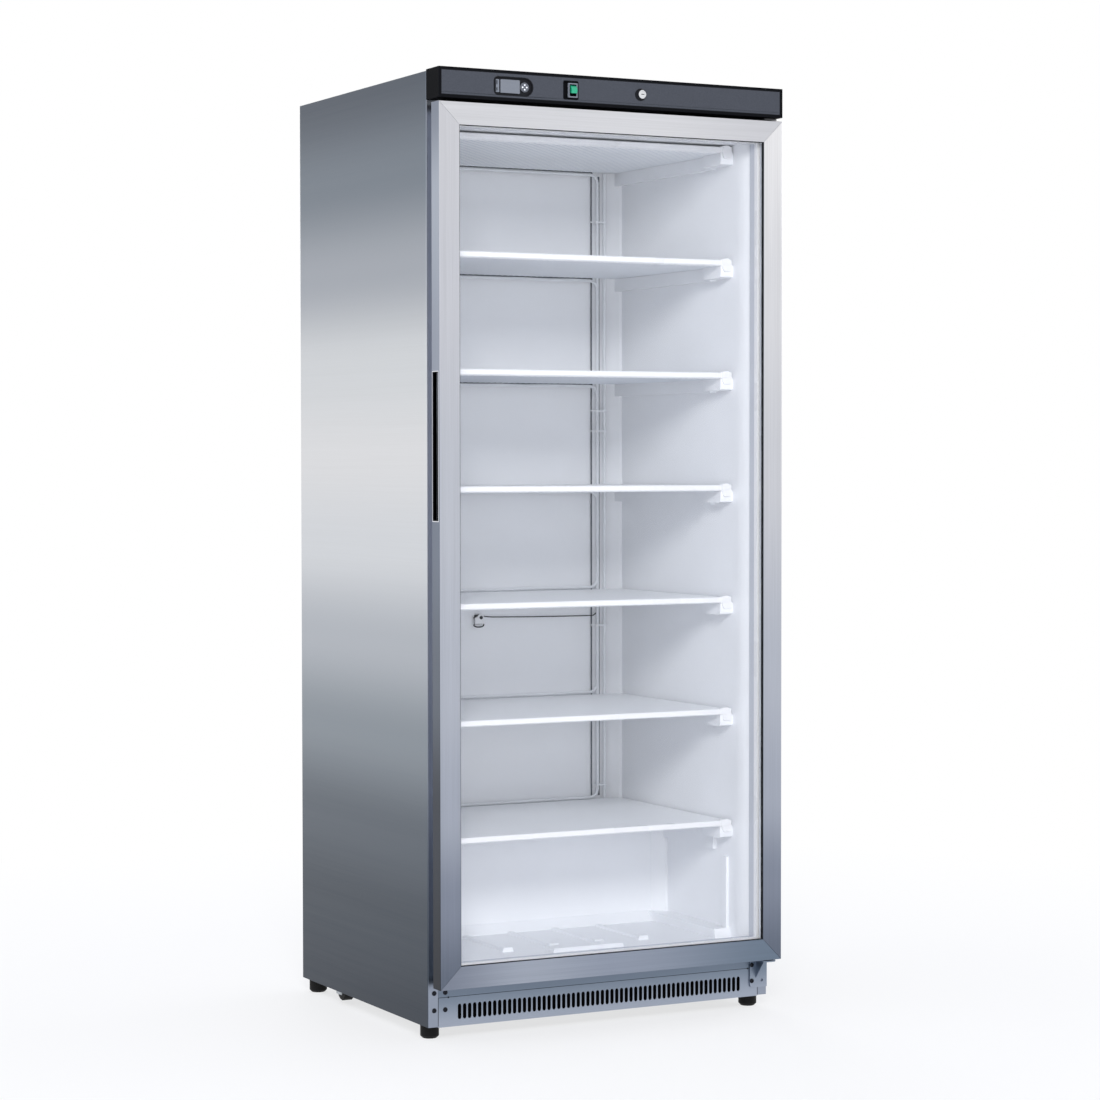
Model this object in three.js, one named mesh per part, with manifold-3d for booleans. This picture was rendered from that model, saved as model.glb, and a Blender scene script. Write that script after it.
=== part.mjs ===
// Upright display freezer: a sheet-metal cabinet with a foamed wall, a moulded liner with
// cold shelves, a mitred glass door hung on the right and a control header above the door.
// Millimetres. X points to the right, Y to the back and Z up; the floor is at Z = 0.

import * as THREE from 'three';
import { mergeVertices } from 'three/addons/utils/BufferGeometryUtils.js';
import Module from 'manifold-3d';

const wasm = await Module();
wasm.setup();

// ---------- Driving dimensions ----------

const cabinetWidth = 777;
const cabinetDepth = 634;
const cabinetTop = 1892;
const cabinetBottom = 27;
const seatGap = 0.3;
const runningGap = 0.3;
const runPast = 1;

const sheet = 1.2;
const foldRadius = 2.5;
const frontReturn = 22;
const rearReturn = 16;

const sideWall = 53.5;
const rearWall = 89;
const ceilingWall = 104;
const floorLevel = 142;
const linerWall = 3;
const throatSide = 15;
const throatTop = 11;
const throatBottom = 3;
const throatDepth = 37;

const doorGap = 22;
const doorThickness = 36;
const doorBottom = 109;
const doorTopGap = 7;
const stileWidth = 44;
const stileWall = 2;
const glassRebate = 30;
const frontLip = 8.4;
const paneThickness = 4;
const glazingCavity = 8;
const cornerRadius = 1.5;

const headerHeight = 59;
const headerOverTop = 3;
const headerWall = 2.5;
const headerRim = 5.5;
const fasciaThickness = 2;
const fasciaSetBack = 0.8;

const shelfCount = 7;
const lowestShelfRise = 22.5;
const ceilingGap = 4.5;
const shelfFront = 46;
const shelfRearGap = 25;
const shelfSheet = 3;
const trimHeight = 12;
const trimLip = 1.5;
const shelfSkin = 1;
const shelfBelowTrim = 1;

const machineRoomDepth = 241;
const machineRoomTop = 321;
const machineRoomWall = 59;
const humpWall = 52;
const humpRoof = 45;

const baseLevel = 82;
const machineFloor = 41.5;
const railInset = 37;
const kickTop = 84;

const hingeInset = 22;
const hingeForward = 40;
const pinRadius = 5;

const footRadius = 19;
const footForward = 40;
const footBack = 34;

// ---------- Places worked out from them ----------

const halfWidth = cabinetWidth / 2;
const doorBack = -doorGap;
const doorFront = doorBack - doorThickness;
const headerTop = cabinetTop + headerOverTop;
const headerBottom = headerTop - headerHeight;
const doorTop = headerBottom - doorTopGap;
const doorFrame = { x0: -halfWidth, x1: halfWidth, z0: doorBottom, z1: doorTop };
const roomHalf = halfWidth - sideWall;
const roomBack = cabinetDepth - rearWall;
const ceiling = cabinetTop - ceilingWall;
const machineRoomFront = cabinetDepth - machineRoomDepth;
const machineHalf = halfWidth - machineRoomWall;
const humpFront = machineRoomFront - humpWall;
const humpTop = machineRoomTop + humpRoof;
const lowestShelfTop = humpTop + lowestShelfRise;
const shelfPitch = (ceiling - ceilingGap - lowestShelfTop) / (shelfCount - 1);
const shelfBack = roomBack - shelfRearGap;
const hingeX = halfWidth - hingeInset;
const hingeY = -hingeForward;
const footX = halfWidth - hingeInset;

// ---------- Materials ----------

function finish(color, roughness, metalness, extra = {}) {
  return new THREE.MeshStandardMaterial({ color, roughness, metalness, flatShading: true, ...extra });
}

const stainless = finish(0xa9adb2, 0.34, 1);
const satinAluminium = finish(0xbfc2c6, 0.38, 1);
const galvanised = finish(0x9fa3a6, 0.5, 0.9);
const chromed = finish(0xdadde0, 0.12, 1);
const whiteEnamel = finish(0xe8ebee, 0.4, 0);
const whitePlastic = finish(0xf2f3f5, 0.45, 0);
const blackPlastic = finish(0x1b1c1f, 0.55, 0);
const greyPlastic = finish(0x5b6066, 0.6, 0);
const displayGrey = finish(0x8f959c, 0.25, 0);
const greenLens = finish(0x109b73, 0.25, 0, { emissive: 0x0a4a36 });
const foam = finish(0xe2c877, 0.95, 0);
const rubberGrey = finish(0x8c9196, 0.8, 0);
const clearGlass = finish(0xdfeaf0, 0.05, 0, { transparent: true, opacity: 0.25 });
const blackEnamel = finish(0x202124, 0.4, 0.2);

// ---------- Shape helpers ----------

function arc(centreX, centreY, radius, startDegrees, endDegrees, steps) {
  const points = [];
  for (let i = 0; i <= steps; i += 1) {
    const angle = THREE.MathUtils.degToRad(startDegrees + ((endDegrees - startDegrees) * i) / steps);
    points.push(new THREE.Vector2(centreX + radius * Math.cos(angle), centreY + radius * Math.sin(angle)));
  }
  return points;
}

function corners(...pairs) {
  return pairs.map(([x, y]) => new THREE.Vector2(x, y));
}

function roundedRectangle(x0, x1, y0, y1, radius, steps = 3) {
  return [
    ...arc(x1 - radius, y0 + radius, radius, -90, 0, steps),
    ...arc(x1 - radius, y1 - radius, radius, 0, 90, steps),
    ...arc(x0 + radius, y1 - radius, radius, 90, 180, steps),
    ...arc(x0 + radius, y0 + radius, radius, 180, 270, steps),
  ];
}

function mirrored(points) {
  return points.map((point) => new THREE.Vector2(-point.x, point.y));
}

// A quarter of an ellipse that sets out level from the first point and arrives upright at the second.
function quarter(fromX, fromY, toX, toY, steps) {
  return arc(0, 0, 1, -90, 0, steps).map((point) => (
    new THREE.Vector2(fromX + (toX - fromX) * point.x, toY + (toY - fromY) * point.y)
  ));
}

function circle(centreX, centreY, radius, sides) {
  return arc(centreX, centreY, radius, 0, 360 - 360 / sides, sides - 1);
}

function extrude(points, depth, holes = []) {
  const shape = new THREE.Shape(points);
  for (const hole of holes) {
    shape.holes.push(new THREE.Path(hole));
  }
  return new THREE.ExtrudeGeometry(shape, { depth, bevelEnabled: false });
}

// A profile drawn in (x, y) and run up from z0 to z1.
function alongZ(points, z0, z1, holes) {
  return extrude(points, z1 - z0, holes).translate(0, 0, z0);
}

// A profile drawn in (x, z) and run back from y0 to y1.
function alongY(points, y0, y1, holes) {
  return extrude(points, y1 - y0, holes).rotateX(Math.PI / 2).translate(0, y1, 0);
}

// A profile drawn in (y, z) and run across from x0 to x1.
function alongX(points, x0, x1, holes) {
  const turn = new THREE.Matrix4().set(0, 0, 1, 0, 1, 0, 0, 0, 0, 1, 0, 0, 0, 0, 0, 1);
  return extrude(points, x1 - x0, holes).applyMatrix4(turn).translate(x0, 0, 0);
}

function block(x0, x1, y0, y1, z0, z1) {
  const box = new THREE.BoxGeometry(x1 - x0, y1 - y0, z1 - z0);
  return box.translate((x0 + x1) / 2, (y0 + y1) / 2, (z0 + z1) / 2);
}

// A turned piece: pairs of (radius, height) that start and end on the axis or close on themselves.
function turned(pairs, sides) {
  return new THREE.LatheGeometry(corners(...pairs), sides).rotateX(Math.PI / 2);
}

function rod(radius, from, to, sides) {
  const length = from.distanceTo(to);
  const bar = new THREE.CylinderGeometry(radius, radius, length, sides).translate(0, length / 2, 0);
  const direction = new THREE.Vector3().subVectors(to, from).normalize();
  const turn = new THREE.Quaternion().setFromUnitVectors(new THREE.Vector3(0, 1, 0), direction);
  return bar.applyQuaternion(turn).translate(from.x, from.y, from.z);
}

function at(x, y, z) {
  return new THREE.Vector3(x, y, z);
}

// A path that goes through its points in straight steps, one step for each point.
class SteppedPath extends THREE.Curve {
  constructor(points) {
    super();
    this.points = points;
  }

  getPointAt(share, target = new THREE.Vector3()) {
    const place = THREE.MathUtils.clamp(share, 0, 1) * (this.points.length - 1);
    const index = Math.min(Math.floor(place), this.points.length - 2);
    return target.lerpVectors(this.points[index], this.points[index + 1], place - index);
  }

  getPoint(share, target) {
    return this.getPointAt(share, target);
  }

  getTangentAt(share, target = new THREE.Vector3()) {
    const last = this.points.length - 1;
    const index = Math.round(share * last);
    const before = this.points[Math.max(index - 1, 0)];
    const here = this.points[index];
    const after = this.points[Math.min(index + 1, last)];
    const arriving = new THREE.Vector3().subVectors(here, before).normalize();
    const leaving = new THREE.Vector3().subVectors(after, here).normalize();
    return target.addVectors(arriving, leaving).normalize();
  }
}

function tube(points, radius, sides) {
  const shape = new THREE.Shape(circle(0, 0, radius, sides));
  const path = new SteppedPath(points);
  return new THREE.ExtrudeGeometry(shape, { steps: points.length - 1, extrudePath: path });
}

// ---------- Solid helpers ----------

function solid(geometry) {
  const bare = geometry.clone();
  bare.deleteAttribute('normal');
  bare.deleteAttribute('uv');
  const merged = mergeVertices(bare, 1e-4);
  return new wasm.Manifold(new wasm.Mesh({
    numProp: 3,
    vertProperties: new Float32Array(merged.attributes.position.array),
    triVerts: new Uint32Array(merged.index.array),
  }));
}

function geometryOf(body) {
  const mesh = body.getMesh();
  const geometry = new THREE.BufferGeometry();
  geometry.setAttribute('position', new THREE.BufferAttribute(new Float32Array(mesh.vertProperties), 3));
  geometry.setIndex(new THREE.BufferAttribute(new Uint32Array(mesh.triVerts), 1));
  geometry.computeVertexNormals();
  return geometry;
}

function joined(...geometries) {
  return geometries.map(solid).reduce((whole, next) => whole.add(next));
}

function without(body, ...geometries) {
  return geometries.map(solid).reduce((whole, next) => whole.subtract(next), body);
}

// One member of a rectangular frame with mitred ends. Profile points are (inset, y).
function frameBar(profile, frame, side, holes) {
  const bar = extrude(profile, 1, holes);
  const position = bar.attributes.position;
  for (let i = 0; i < position.count; i += 1) {
    const inset = position.getX(i);
    const share = side === 'left' || side === 'top' ? position.getZ(i) : 1 - position.getZ(i);
    const x = THREE.MathUtils.lerp(frame.x0 + inset, frame.x1 - inset, share);
    const z = THREE.MathUtils.lerp(frame.z0 + inset, frame.z1 - inset, share);
    if (side === 'left') position.setXYZ(i, frame.x0 + inset, position.getY(i), z);
    if (side === 'right') position.setXYZ(i, frame.x1 - inset, position.getY(i), z);
    if (side === 'bottom') position.setXYZ(i, x, position.getY(i), frame.z0 + inset);
    if (side === 'top') position.setXYZ(i, x, position.getY(i), frame.z1 - inset);
  }
  bar.computeVertexNormals();
  return bar;
}

// A whole rectangular frame in one piece. Profile points are (inset, y), counter-clockwise.
function frameRing(profile, frame) {
  const vertices = [];
  for (const [endX, endZ] of [['x0', 'z0'], ['x1', 'z0'], ['x1', 'z1'], ['x0', 'z1']]) {
    for (const point of profile) {
      const x = endX === 'x0' ? frame.x0 + point.x : frame.x1 - point.x;
      const z = endZ === 'z0' ? frame.z0 + point.x : frame.z1 - point.x;
      vertices.push(x, point.y, z);
    }
  }
  const indices = [];
  const count = profile.length;
  for (let corner = 0; corner < 4; corner += 1) {
    const here = corner * count;
    const next = ((corner + 1) % 4) * count;
    for (let i = 0; i < count; i += 1) {
      const j = (i + 1) % count;
      indices.push(here + i, next + i, next + j, here + i, next + j, here + j);
    }
  }
  const ring = new THREE.BufferGeometry();
  ring.setAttribute('position', new THREE.Float32BufferAttribute(vertices, 3));
  ring.setIndex(indices);
  ring.computeVertexNormals();
  return ring;
}

function rectangleProfile(inset0, inset1, y0, y1) {
  return corners([inset0, y0], [inset1, y0], [inset1, y1], [inset0, y1]);
}

function inset(frame, amount) {
  return { x0: frame.x0 + amount, x1: frame.x1 - amount, z0: frame.z0 + amount, z1: frame.z1 - amount };
}

function mesh(name, source, material) {
  const geometry = source.isBufferGeometry ? source : geometryOf(source);
  const made = new THREE.Mesh(geometry, material);
  made.name = name;
  return made;
}

// ---------- Cabinet shell ----------

const cabinet = new THREE.Group();

// A side panel is one sheet, folded round the front and the rear edge.
function sidePanelOutline() {
  const outer = halfWidth;
  const foldX = halfWidth - foldRadius;
  const rearFold = cabinetDepth - foldRadius;
  return [
    ...corners([outer - frontReturn, 0]),
    ...arc(foldX, foldRadius, foldRadius, -90, 0, 3),
    ...arc(foldX, rearFold, foldRadius, 0, 90, 3),
    ...corners([outer - rearReturn, cabinetDepth], [outer - rearReturn, cabinetDepth - sheet]),
    ...arc(foldX, rearFold, foldRadius - sheet, 90, 0, 3),
    ...arc(foldX, foldRadius, foldRadius - sheet, 0, -90, 3),
    ...corners([outer - frontReturn, sheet]),
  ];
}

function sidePanel(side) {
  const outline = side < 0 ? mirrored(sidePanelOutline()) : sidePanelOutline();
  return alongZ(outline, cabinetBottom, cabinetTop);
}

cabinet.add(mesh('side_panel_left', sidePanel(-1), stainless));
cabinet.add(mesh('side_panel_right', sidePanel(1), stainless));

const innerSkin = halfWidth - sheet - seatGap;
// A square corner stays clear of the fold's inner rounding.
const shellInside = innerSkin - (foldRadius - sheet) / 3;
const topLip = 14;
const rearSheetFront = cabinetDepth - 2 * sheet - seatGap;

// The top is a tray of sheet, turned down between the side panels.
function topPanel() {
  const lipLow = cabinetTop - topLip;
  const outline = corners(
    [-innerSkin, lipLow], [-innerSkin + sheet, lipLow],
    [-innerSkin + sheet, cabinetTop - sheet], [innerSkin - sheet, cabinetTop - sheet],
    [innerSkin - sheet, lipLow], [innerSkin, lipLow],
    [innerSkin, cabinetTop], [-innerSkin, cabinetTop],
  );
  return alongY(outline, foldRadius + seatGap, rearSheetFront - seatGap);
}

cabinet.add(mesh('top_panel', topPanel(), stainless));

// Free space inside the liner, grown outwards by a wall: the room itself, its throat at the
// front, less the hump over the machine room.
function room(grow) {
  const half = roomHalf + grow;
  const low = floorLevel - grow;
  const high = ceiling + grow;
  const body = solid(block(-half, half, throatDepth - runPast, roomBack + grow, low, high));
  const mouth = { side: half + throatSide, low: low - throatBottom, high: high + throatTop };
  const throat = new THREE.BufferGeometry();
  const front = sheet + seatGap;
  throat.setAttribute('position', new THREE.Float32BufferAttribute([
    -mouth.side, front, mouth.low, mouth.side, front, mouth.low,
    mouth.side, front, mouth.high, -mouth.side, front, mouth.high,
    -half, throatDepth, low, half, throatDepth, low, half, throatDepth, high, -half, throatDepth, high,
  ], 3));
  throat.setIndex([
    0, 1, 2, 0, 2, 3, 4, 6, 5, 4, 7, 6, 0, 5, 1, 0, 4, 5,
    1, 6, 2, 1, 5, 6, 2, 7, 3, 2, 6, 7, 3, 4, 0, 3, 7, 4,
  ]);
  const hump = block(-half - runPast, half + runPast, humpFront + grow, roomBack + grow + runPast,
    low - runPast, humpTop - grow);
  return body.add(solid(throat)).subtract(solid(hump));
}

// The foam fills what is left between the outer sheets, the liner and the machine room.
function insulation() {
  const front = sheet + seatGap;
  const back = rearSheetFront - seatGap;
  const core = solid(block(-shellInside, shellInside, front, back,
    baseLevel + seatGap, cabinetTop - sheet - seatGap));
  const lip = topLip + seatGap;
  const shoulder = sheet + 2 * seatGap;
  const trimmed = without(
    core,
    block(innerSkin - shoulder, innerSkin + runPast, -runPast, cabinetDepth, cabinetTop - lip, cabinetTop),
    block(-innerSkin - runPast, -innerSkin + shoulder, -runPast, cabinetDepth, cabinetTop - lip, cabinetTop),
    block(-machineHalf, machineHalf, machineRoomFront, cabinetDepth, baseLevel - runPast, machineRoomTop),
    rearReturnRelief(1),
    rearReturnRelief(-1),
  );
  return trimmed.subtract(room(linerWall + seatGap).add(roomMouth()));
}

// The rear returns of the side panels stand inside the foam's corners.
function rearReturnRelief(side) {
  const inner = halfWidth - rearReturn - seatGap;
  const front = rearSheetFront - seatGap - runPast;
  const [x0, x1] = side > 0 ? [inner, halfWidth] : [-halfWidth, -inner];
  return block(x0, x1, front, cabinetDepth, 0, cabinetTop);
}

// Clears the thin foam edge in front of the throat.
function roomMouth() {
  const grow = linerWall + seatGap;
  const side = roomHalf + throatSide + grow;
  return solid(block(-side, side, -1, sheet + seatGap + 0.01,
    floorLevel - throatBottom - grow, ceiling + throatTop + grow));
}

cabinet.add(mesh('insulation', insulation(), foam));

// ---------- Liner ----------

const ledgeReach = 14;
const ledgeHeight = 27;
const blockReach = 30;
const blockHeight = 24;
const blockLength = 71;
const blockRound = 8;
const columnReach = 30;
const columnToe = 6;
const columnDepth = 22;

function shelfTop(index) {
  return lowestShelfTop + shelfPitch * index;
}

function shelfSeat(index) {
  return shelfTop(index) - trimHeight - shelfBelowTrim;
}

// The step that carries one side of a shelf: a deep front block and a long ledge behind it.
function shelfStep(index, side) {
  const top = shelfSeat(index);
  const front = shelfFront + 2;
  const backEnd = roomBack - columnDepth / 2;
  const frontBlock = [
    ...corners([front + blockLength, top - blockHeight]),
    ...corners([front + blockLength, top], [front, top]),
    ...arc(front + blockRound, top - blockHeight + blockRound, blockRound, 180, 270, 2),
  ];
  const ledge = corners(
    [front + blockLength - 2, top - ledgeHeight], [backEnd, top - ledgeHeight],
    [backEnd, top], [front + blockLength - 2, top],
  );
  const wall = roomHalf + linerWall / 2;
  const pieces = [
    [frontBlock, roomHalf - blockReach],
    [ledge, roomHalf - ledgeReach],
  ];
  return pieces.map(([outline, inner]) => (
    side > 0 ? alongX(outline, inner, wall) : alongX(outline, -wall, -inner)
  ));
}

// A slanted column fills each rear corner behind the pipes, above the hump and below it.
function cornerColumn(side, back, z0, z1) {
  const wall = roomHalf + linerWall / 2;
  const outline = corners(
    [wall, back - columnDepth], [roomHalf - columnToe, back - columnDepth],
    [roomHalf - columnReach, back + runPast], [wall, back + runPast],
  );
  return alongZ(side > 0 ? outline : mirrored(outline), z0, z1);
}

const floorRibCount = 4;
const floorRibPitch = 105;
const floorRibFront = 118;
const floorRibBack = 308;
const floorRibHeight = 5;
const floorRibWidth = 16;
const ribFootWidth = 26;
const ribFootHeight = 9;
const ribFootLength = 16;
const drainPad = { width: 164, height: 8, front: 58, back: 96 };
const rampLength = 24;
const rampRise = 19;
const draft = 3;
const sideStep = { front: 54, width: 38, height: 19 };
const wallRib = { front: 64, width: 17, low: 14, high: 168, height: 6 };
const wallBrow = { front: 112, drop: 28, height: 9 };

// A low rib with sloping flanks, drawn across the cabinet.
function flank(x, width, height) {
  const low = floorLevel - linerWall / 2;
  const half = width / 2;
  const top = floorLevel + height;
  return corners([x - half, low], [x + half, low], [x + half - draft, top], [x - half + draft, top]);
}

function floorDetails() {
  const low = floorLevel - linerWall / 2;
  const parts = [];
  for (let i = 0; i < floorRibCount; i += 1) {
    const x = (i - (floorRibCount - 1) / 2) * floorRibPitch;
    parts.push(alongY(flank(x, floorRibWidth, floorRibHeight), floorRibFront, floorRibBack));
    parts.push(alongY(flank(x, ribFootWidth, ribFootHeight),
      floorRibFront - ribFootLength / 2, floorRibFront + ribFootLength / 2));
  }
  parts.push(alongY(flank(0, drainPad.width, drainPad.height), drainPad.front, drainPad.back));
  const rampTop = floorLevel + rampRise;
  const ramp = corners(
    [humpFront - rampLength, low], [humpFront + runPast, low], [humpFront + runPast, rampTop],
    [humpFront - draft, rampTop], [humpFront - rampLength, floorLevel + linerWall / 2],
  );
  parts.push(alongX(ramp, -roomHalf - runPast, roomHalf + runPast));
  return parts;
}

function sideDetails(side) {
  const wall = roomHalf + linerWall / 2;
  const low = floorLevel - linerWall / 2;
  const back = humpFront + runPast;
  const step = corners(
    [sideStep.front, low], [back, low],
    [back, floorLevel + sideStep.height], [sideStep.front + 2 * draft, floorLevel + sideStep.height],
  );
  const ribBack = wallRib.front + wallRib.width;
  const rib = corners(
    [wallRib.front, floorLevel + wallRib.low], [ribBack, floorLevel + wallRib.low],
    [ribBack, floorLevel + wallRib.high], [wallRib.front, floorLevel + wallRib.high],
  );
  const browLow = shelfSeat(0) - ledgeHeight - wallBrow.drop;
  const browHigh = shelfSeat(0) - linerWall / 2;
  const brow = corners(
    [wallBrow.front, browLow], [back, browLow], [back, browHigh], [wallBrow.front, browHigh],
  );
  const spans = [
    [step, roomHalf - sideStep.width],
    [rib, roomHalf - wallRib.height],
    [brow, roomHalf - wallBrow.height],
  ];
  return spans.map(([outline, inner]) => (
    side > 0 ? alongX(outline, inner, wall) : alongX(outline, -wall, -inner)
  ));
}

function innerLiner() {
  let free = room(0).add(solid(block(
    -roomHalf - throatSide, roomHalf + throatSide, -1, sheet + seatGap + 0.01,
    floorLevel - throatBottom, ceiling + throatTop,
  )));
  const raised = floorDetails();
  for (const side of [-1, 1]) {
    raised.push(...sideDetails(side));
    raised.push(cornerColumn(side, roomBack, humpTop - 2, ceiling + linerWall / 2));
    raised.push(cornerColumn(side, humpFront, floorLevel - linerWall / 2, humpTop - 1));
    for (let index = 0; index < shelfCount; index += 1) {
      raised.push(...shelfStep(index, side));
    }
  }
  free = without(free, ...raised);
  return room(linerWall).subtract(free);
}

cabinet.add(mesh('inner_liner', innerLiner(), whitePlastic));

// ---------- Front frame, rear panel and base ----------

// The white flange round the mouth, which the door gasket pulls itself on to.
function frontFrame() {
  const outerSide = halfWidth - frontReturn - seatGap;
  const innerSide = roomHalf + throatSide;
  const innerLow = floorLevel - throatBottom;
  const innerHigh = ceiling + throatTop;
  const opening = corners(
    [-innerSide, innerLow], [-innerSide, innerHigh], [innerSide, innerHigh], [innerSide, innerLow],
  );
  const outline = corners(
    [-outerSide, kickTop + seatGap], [outerSide, kickTop + seatGap],
    [outerSide, headerBottom], [-outerSide, headerBottom],
  );
  return alongY(outline, 0, sheet, [opening]);
}

cabinet.add(mesh('front_frame', frontFrame(), whiteEnamel));

const upperPlateTop = cabinetTop - sheet - seatGap;

// The rear sheet, with the machine room's lining folded and joined to it.
function rearPanel() {
  const back = rearSheetFront + sheet;
  const side = shellInside;
  const liningHalf = machineHalf - seatGap;
  const roof = machineRoomTop - seatGap;
  const liningLow = baseLevel + seatGap;
  const opening = corners(
    [-liningHalf + sheet, cabinetBottom - 1], [-liningHalf + sheet, roof - sheet],
    [liningHalf - sheet, roof - sheet], [liningHalf - sheet, cabinetBottom - 1],
  );
  const outline = corners(
    [-side, liningLow], [side, liningLow], [side, upperPlateTop], [-side, upperPlateTop],
  );
  const plate = solid(alongY(outline, rearSheetFront, back))
    .subtract(solid(alongY(opening, rearSheetFront - 1, back + 1)));
  const liningFront = machineRoomFront + seatGap;
  const lining = solid(block(-liningHalf, liningHalf, liningFront, back - sheet / 2, liningLow, roof))
    .subtract(solid(block(-liningHalf + sheet, liningHalf - sheet, liningFront + sheet, back + 1,
      liningLow - 1, roof - sheet)));
  return plate.add(lining);
}

cabinet.add(mesh('rear_panel', rearPanel(), galvanised));

const rollerRadius = 22;
const rollerWidth = 22;
const rollerInset = 19.2;
const rollerX = halfWidth - rollerInset;
const rollerBack = 190;
const rollerY = cabinetDepth - rollerBack;
const rollerZ = 29;
const axleRadius = 4;
const studRadius = 5;
const baseGauge = 1.5;
const frontBeamHeight = 10;
const frontBeamSetBack = 4;
const ear = { gauge: 2.5, low: 8, halfLow: 12, halfHigh: 18 };
const rollerClearance = 5;

const footPlaces = [];
for (const side of [-1, 1]) {
  const hand = side < 0 ? 'left' : 'right';
  footPlaces.push({ name: `front_${hand}`, x: side * footX, y: footForward });
  footPlaces.push({ name: `rear_${hand}`, x: side * footX, y: cabinetDepth - footBack });
}

// Rails, floor sheet and machine floor, welded into one base.
function baseFrame() {
  const back = rearSheetFront - seatGap;
  const front = sheet + seatGap;
  const webX = halfWidth - railInset;
  const outerX = shellInside;
  const railTop = cabinetBottom + baseGauge;
  const rail = corners(
    [webX, cabinetBottom], [outerX, cabinetBottom], [outerX, railTop],
    [webX + baseGauge, railTop], [webX + baseGauge, baseLevel - baseGauge],
    [outerX, baseLevel - baseGauge], [outerX, baseLevel], [webX, baseLevel],
  );
  const stepY = machineRoomFront + sheet + seatGap;
  const floorSheet = corners(
    [front, baseLevel - baseGauge], [stepY, baseLevel - baseGauge], [stepY, machineFloor - baseGauge],
    [back, machineFloor - baseGauge], [back, machineFloor], [stepY + baseGauge, machineFloor],
    [stepY + baseGauge, baseLevel], [front, baseLevel],
  );
  const beamFront = front + frontBeamSetBack;
  const beam = block(-webX, webX, beamFront, beamFront + baseGauge,
    baseLevel - frontBeamHeight, baseLevel - baseGauge / 2);
  const parts = [
    alongX(floorSheet, -webX - baseGauge / 2, webX + baseGauge / 2),
    beam,
  ];
  const cuts = [];
  const axles = [];
  const earOutline = corners(
    [rollerY - ear.halfLow, rollerZ - ear.low], [rollerY + ear.halfLow, rollerZ - ear.low],
    [rollerY + ear.halfHigh, baseLevel - baseGauge / 2], [rollerY - ear.halfHigh, baseLevel - baseGauge / 2],
  );
  const slot = rollerRadius + rollerClearance;
  for (const side of [-1, 1]) {
    // Each span is written for the right side and mirrored for the left one.
    const across = (x0, x1) => (side > 0 ? [x0, x1] : [-x1, -x0]);
    parts.push(alongY(side > 0 ? rail : mirrored(rail), front, back));
    parts.push(alongX(earOutline, ...across(outerX - ear.gauge, outerX)));
    cuts.push(block(...across(webX + baseGauge + seatGap, outerX - ear.gauge - seatGap),
      rollerY - slot, rollerY + slot, cabinetBottom - runPast, railTop + runPast));
    axles.push(rod(axleRadius, at(side * webX, rollerY, rollerZ),
      at(side * (outerX - ear.gauge / 2), rollerY, rollerZ), 8));
  }
  for (const place of footPlaces) {
    const hole = circle(place.x, place.y, studRadius + runningGap, 12);
    cuts.push(alongZ(hole, cabinetBottom - runPast, railTop + runPast));
  }
  return axles.reduce((whole, axle) => whole.add(solid(axle)), without(joined(...parts), ...cuts));
}

cabinet.add(mesh('base_frame', baseFrame(), galvanised));

// ---------- Kick grille ----------

const slotCount = 59;
const slotSpan = 640;
const slotWidth = 7.6;
const kickTurnIn = 16;
const slotLow = 38.5;
const slotHigh = 69.5;

// One pressed panel with a row of upright round-ended slots.
function kickGrille() {
  const side = halfWidth - frontReturn - seatGap;
  const slots = [];
  const radius = slotWidth / 2;
  for (let i = 0; i < slotCount; i += 1) {
    const x = -slotSpan / 2 + (slotSpan * i) / (slotCount - 1);
    slots.push([
      ...arc(x, slotLow + radius, radius, 180, 360, 3),
      ...arc(x, slotHigh - radius, radius, 0, 180, 3),
    ]);
  }
  const low = cabinetBottom - 1.5;
  const face = corners([-side, low], [side, low], [side, kickTop], [-side, kickTop]);
  const panel = solid(alongY(face, 0, sheet, slots));
  const turnIn = solid(block(-side, side, sheet / 2, kickTurnIn, low, low + sheet));
  return panel.add(turnIn);
}

cabinet.add(mesh('kick_grille', kickGrille(), satinAluminium));

// ---------- Hinges ----------

const bracketGauge = 3;
const bracketLow = 44;
const bracketTabTop = doorBottom - 3;
const bracketLeft = halfWidth - 42;
const bracketRight = halfWidth - 1;
const bracketCorner = 6;
const bracketHole = { inset: 13.5, level: 58, radius: 3.2 };
const gusset = { inset: 27, gauge: 2.4, rise: 18, reach: 38 };
const tabReach = 50;
const tabHalf = 16;
const tabCorner = 7;
const upperPlateLow = 15;
const pinEngagement = 13;
const upperTabGap = 1.7;
const bushRadius = 8;
const bushFlange = 4;

function tabOutline() {
  const front = -tabReach + tabCorner;
  return [
    ...corners([bracketLeft + bracketGauge, -seatGap], [hingeX - tabHalf, front]),
    ...arc(hingeX - tabHalf + tabCorner, front, tabCorner, 180, 270, 3),
    ...arc(hingeX + tabHalf - tabCorner, front, tabCorner, 270, 360, 3),
    ...corners([bracketRight, -seatGap]),
  ];
}

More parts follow.
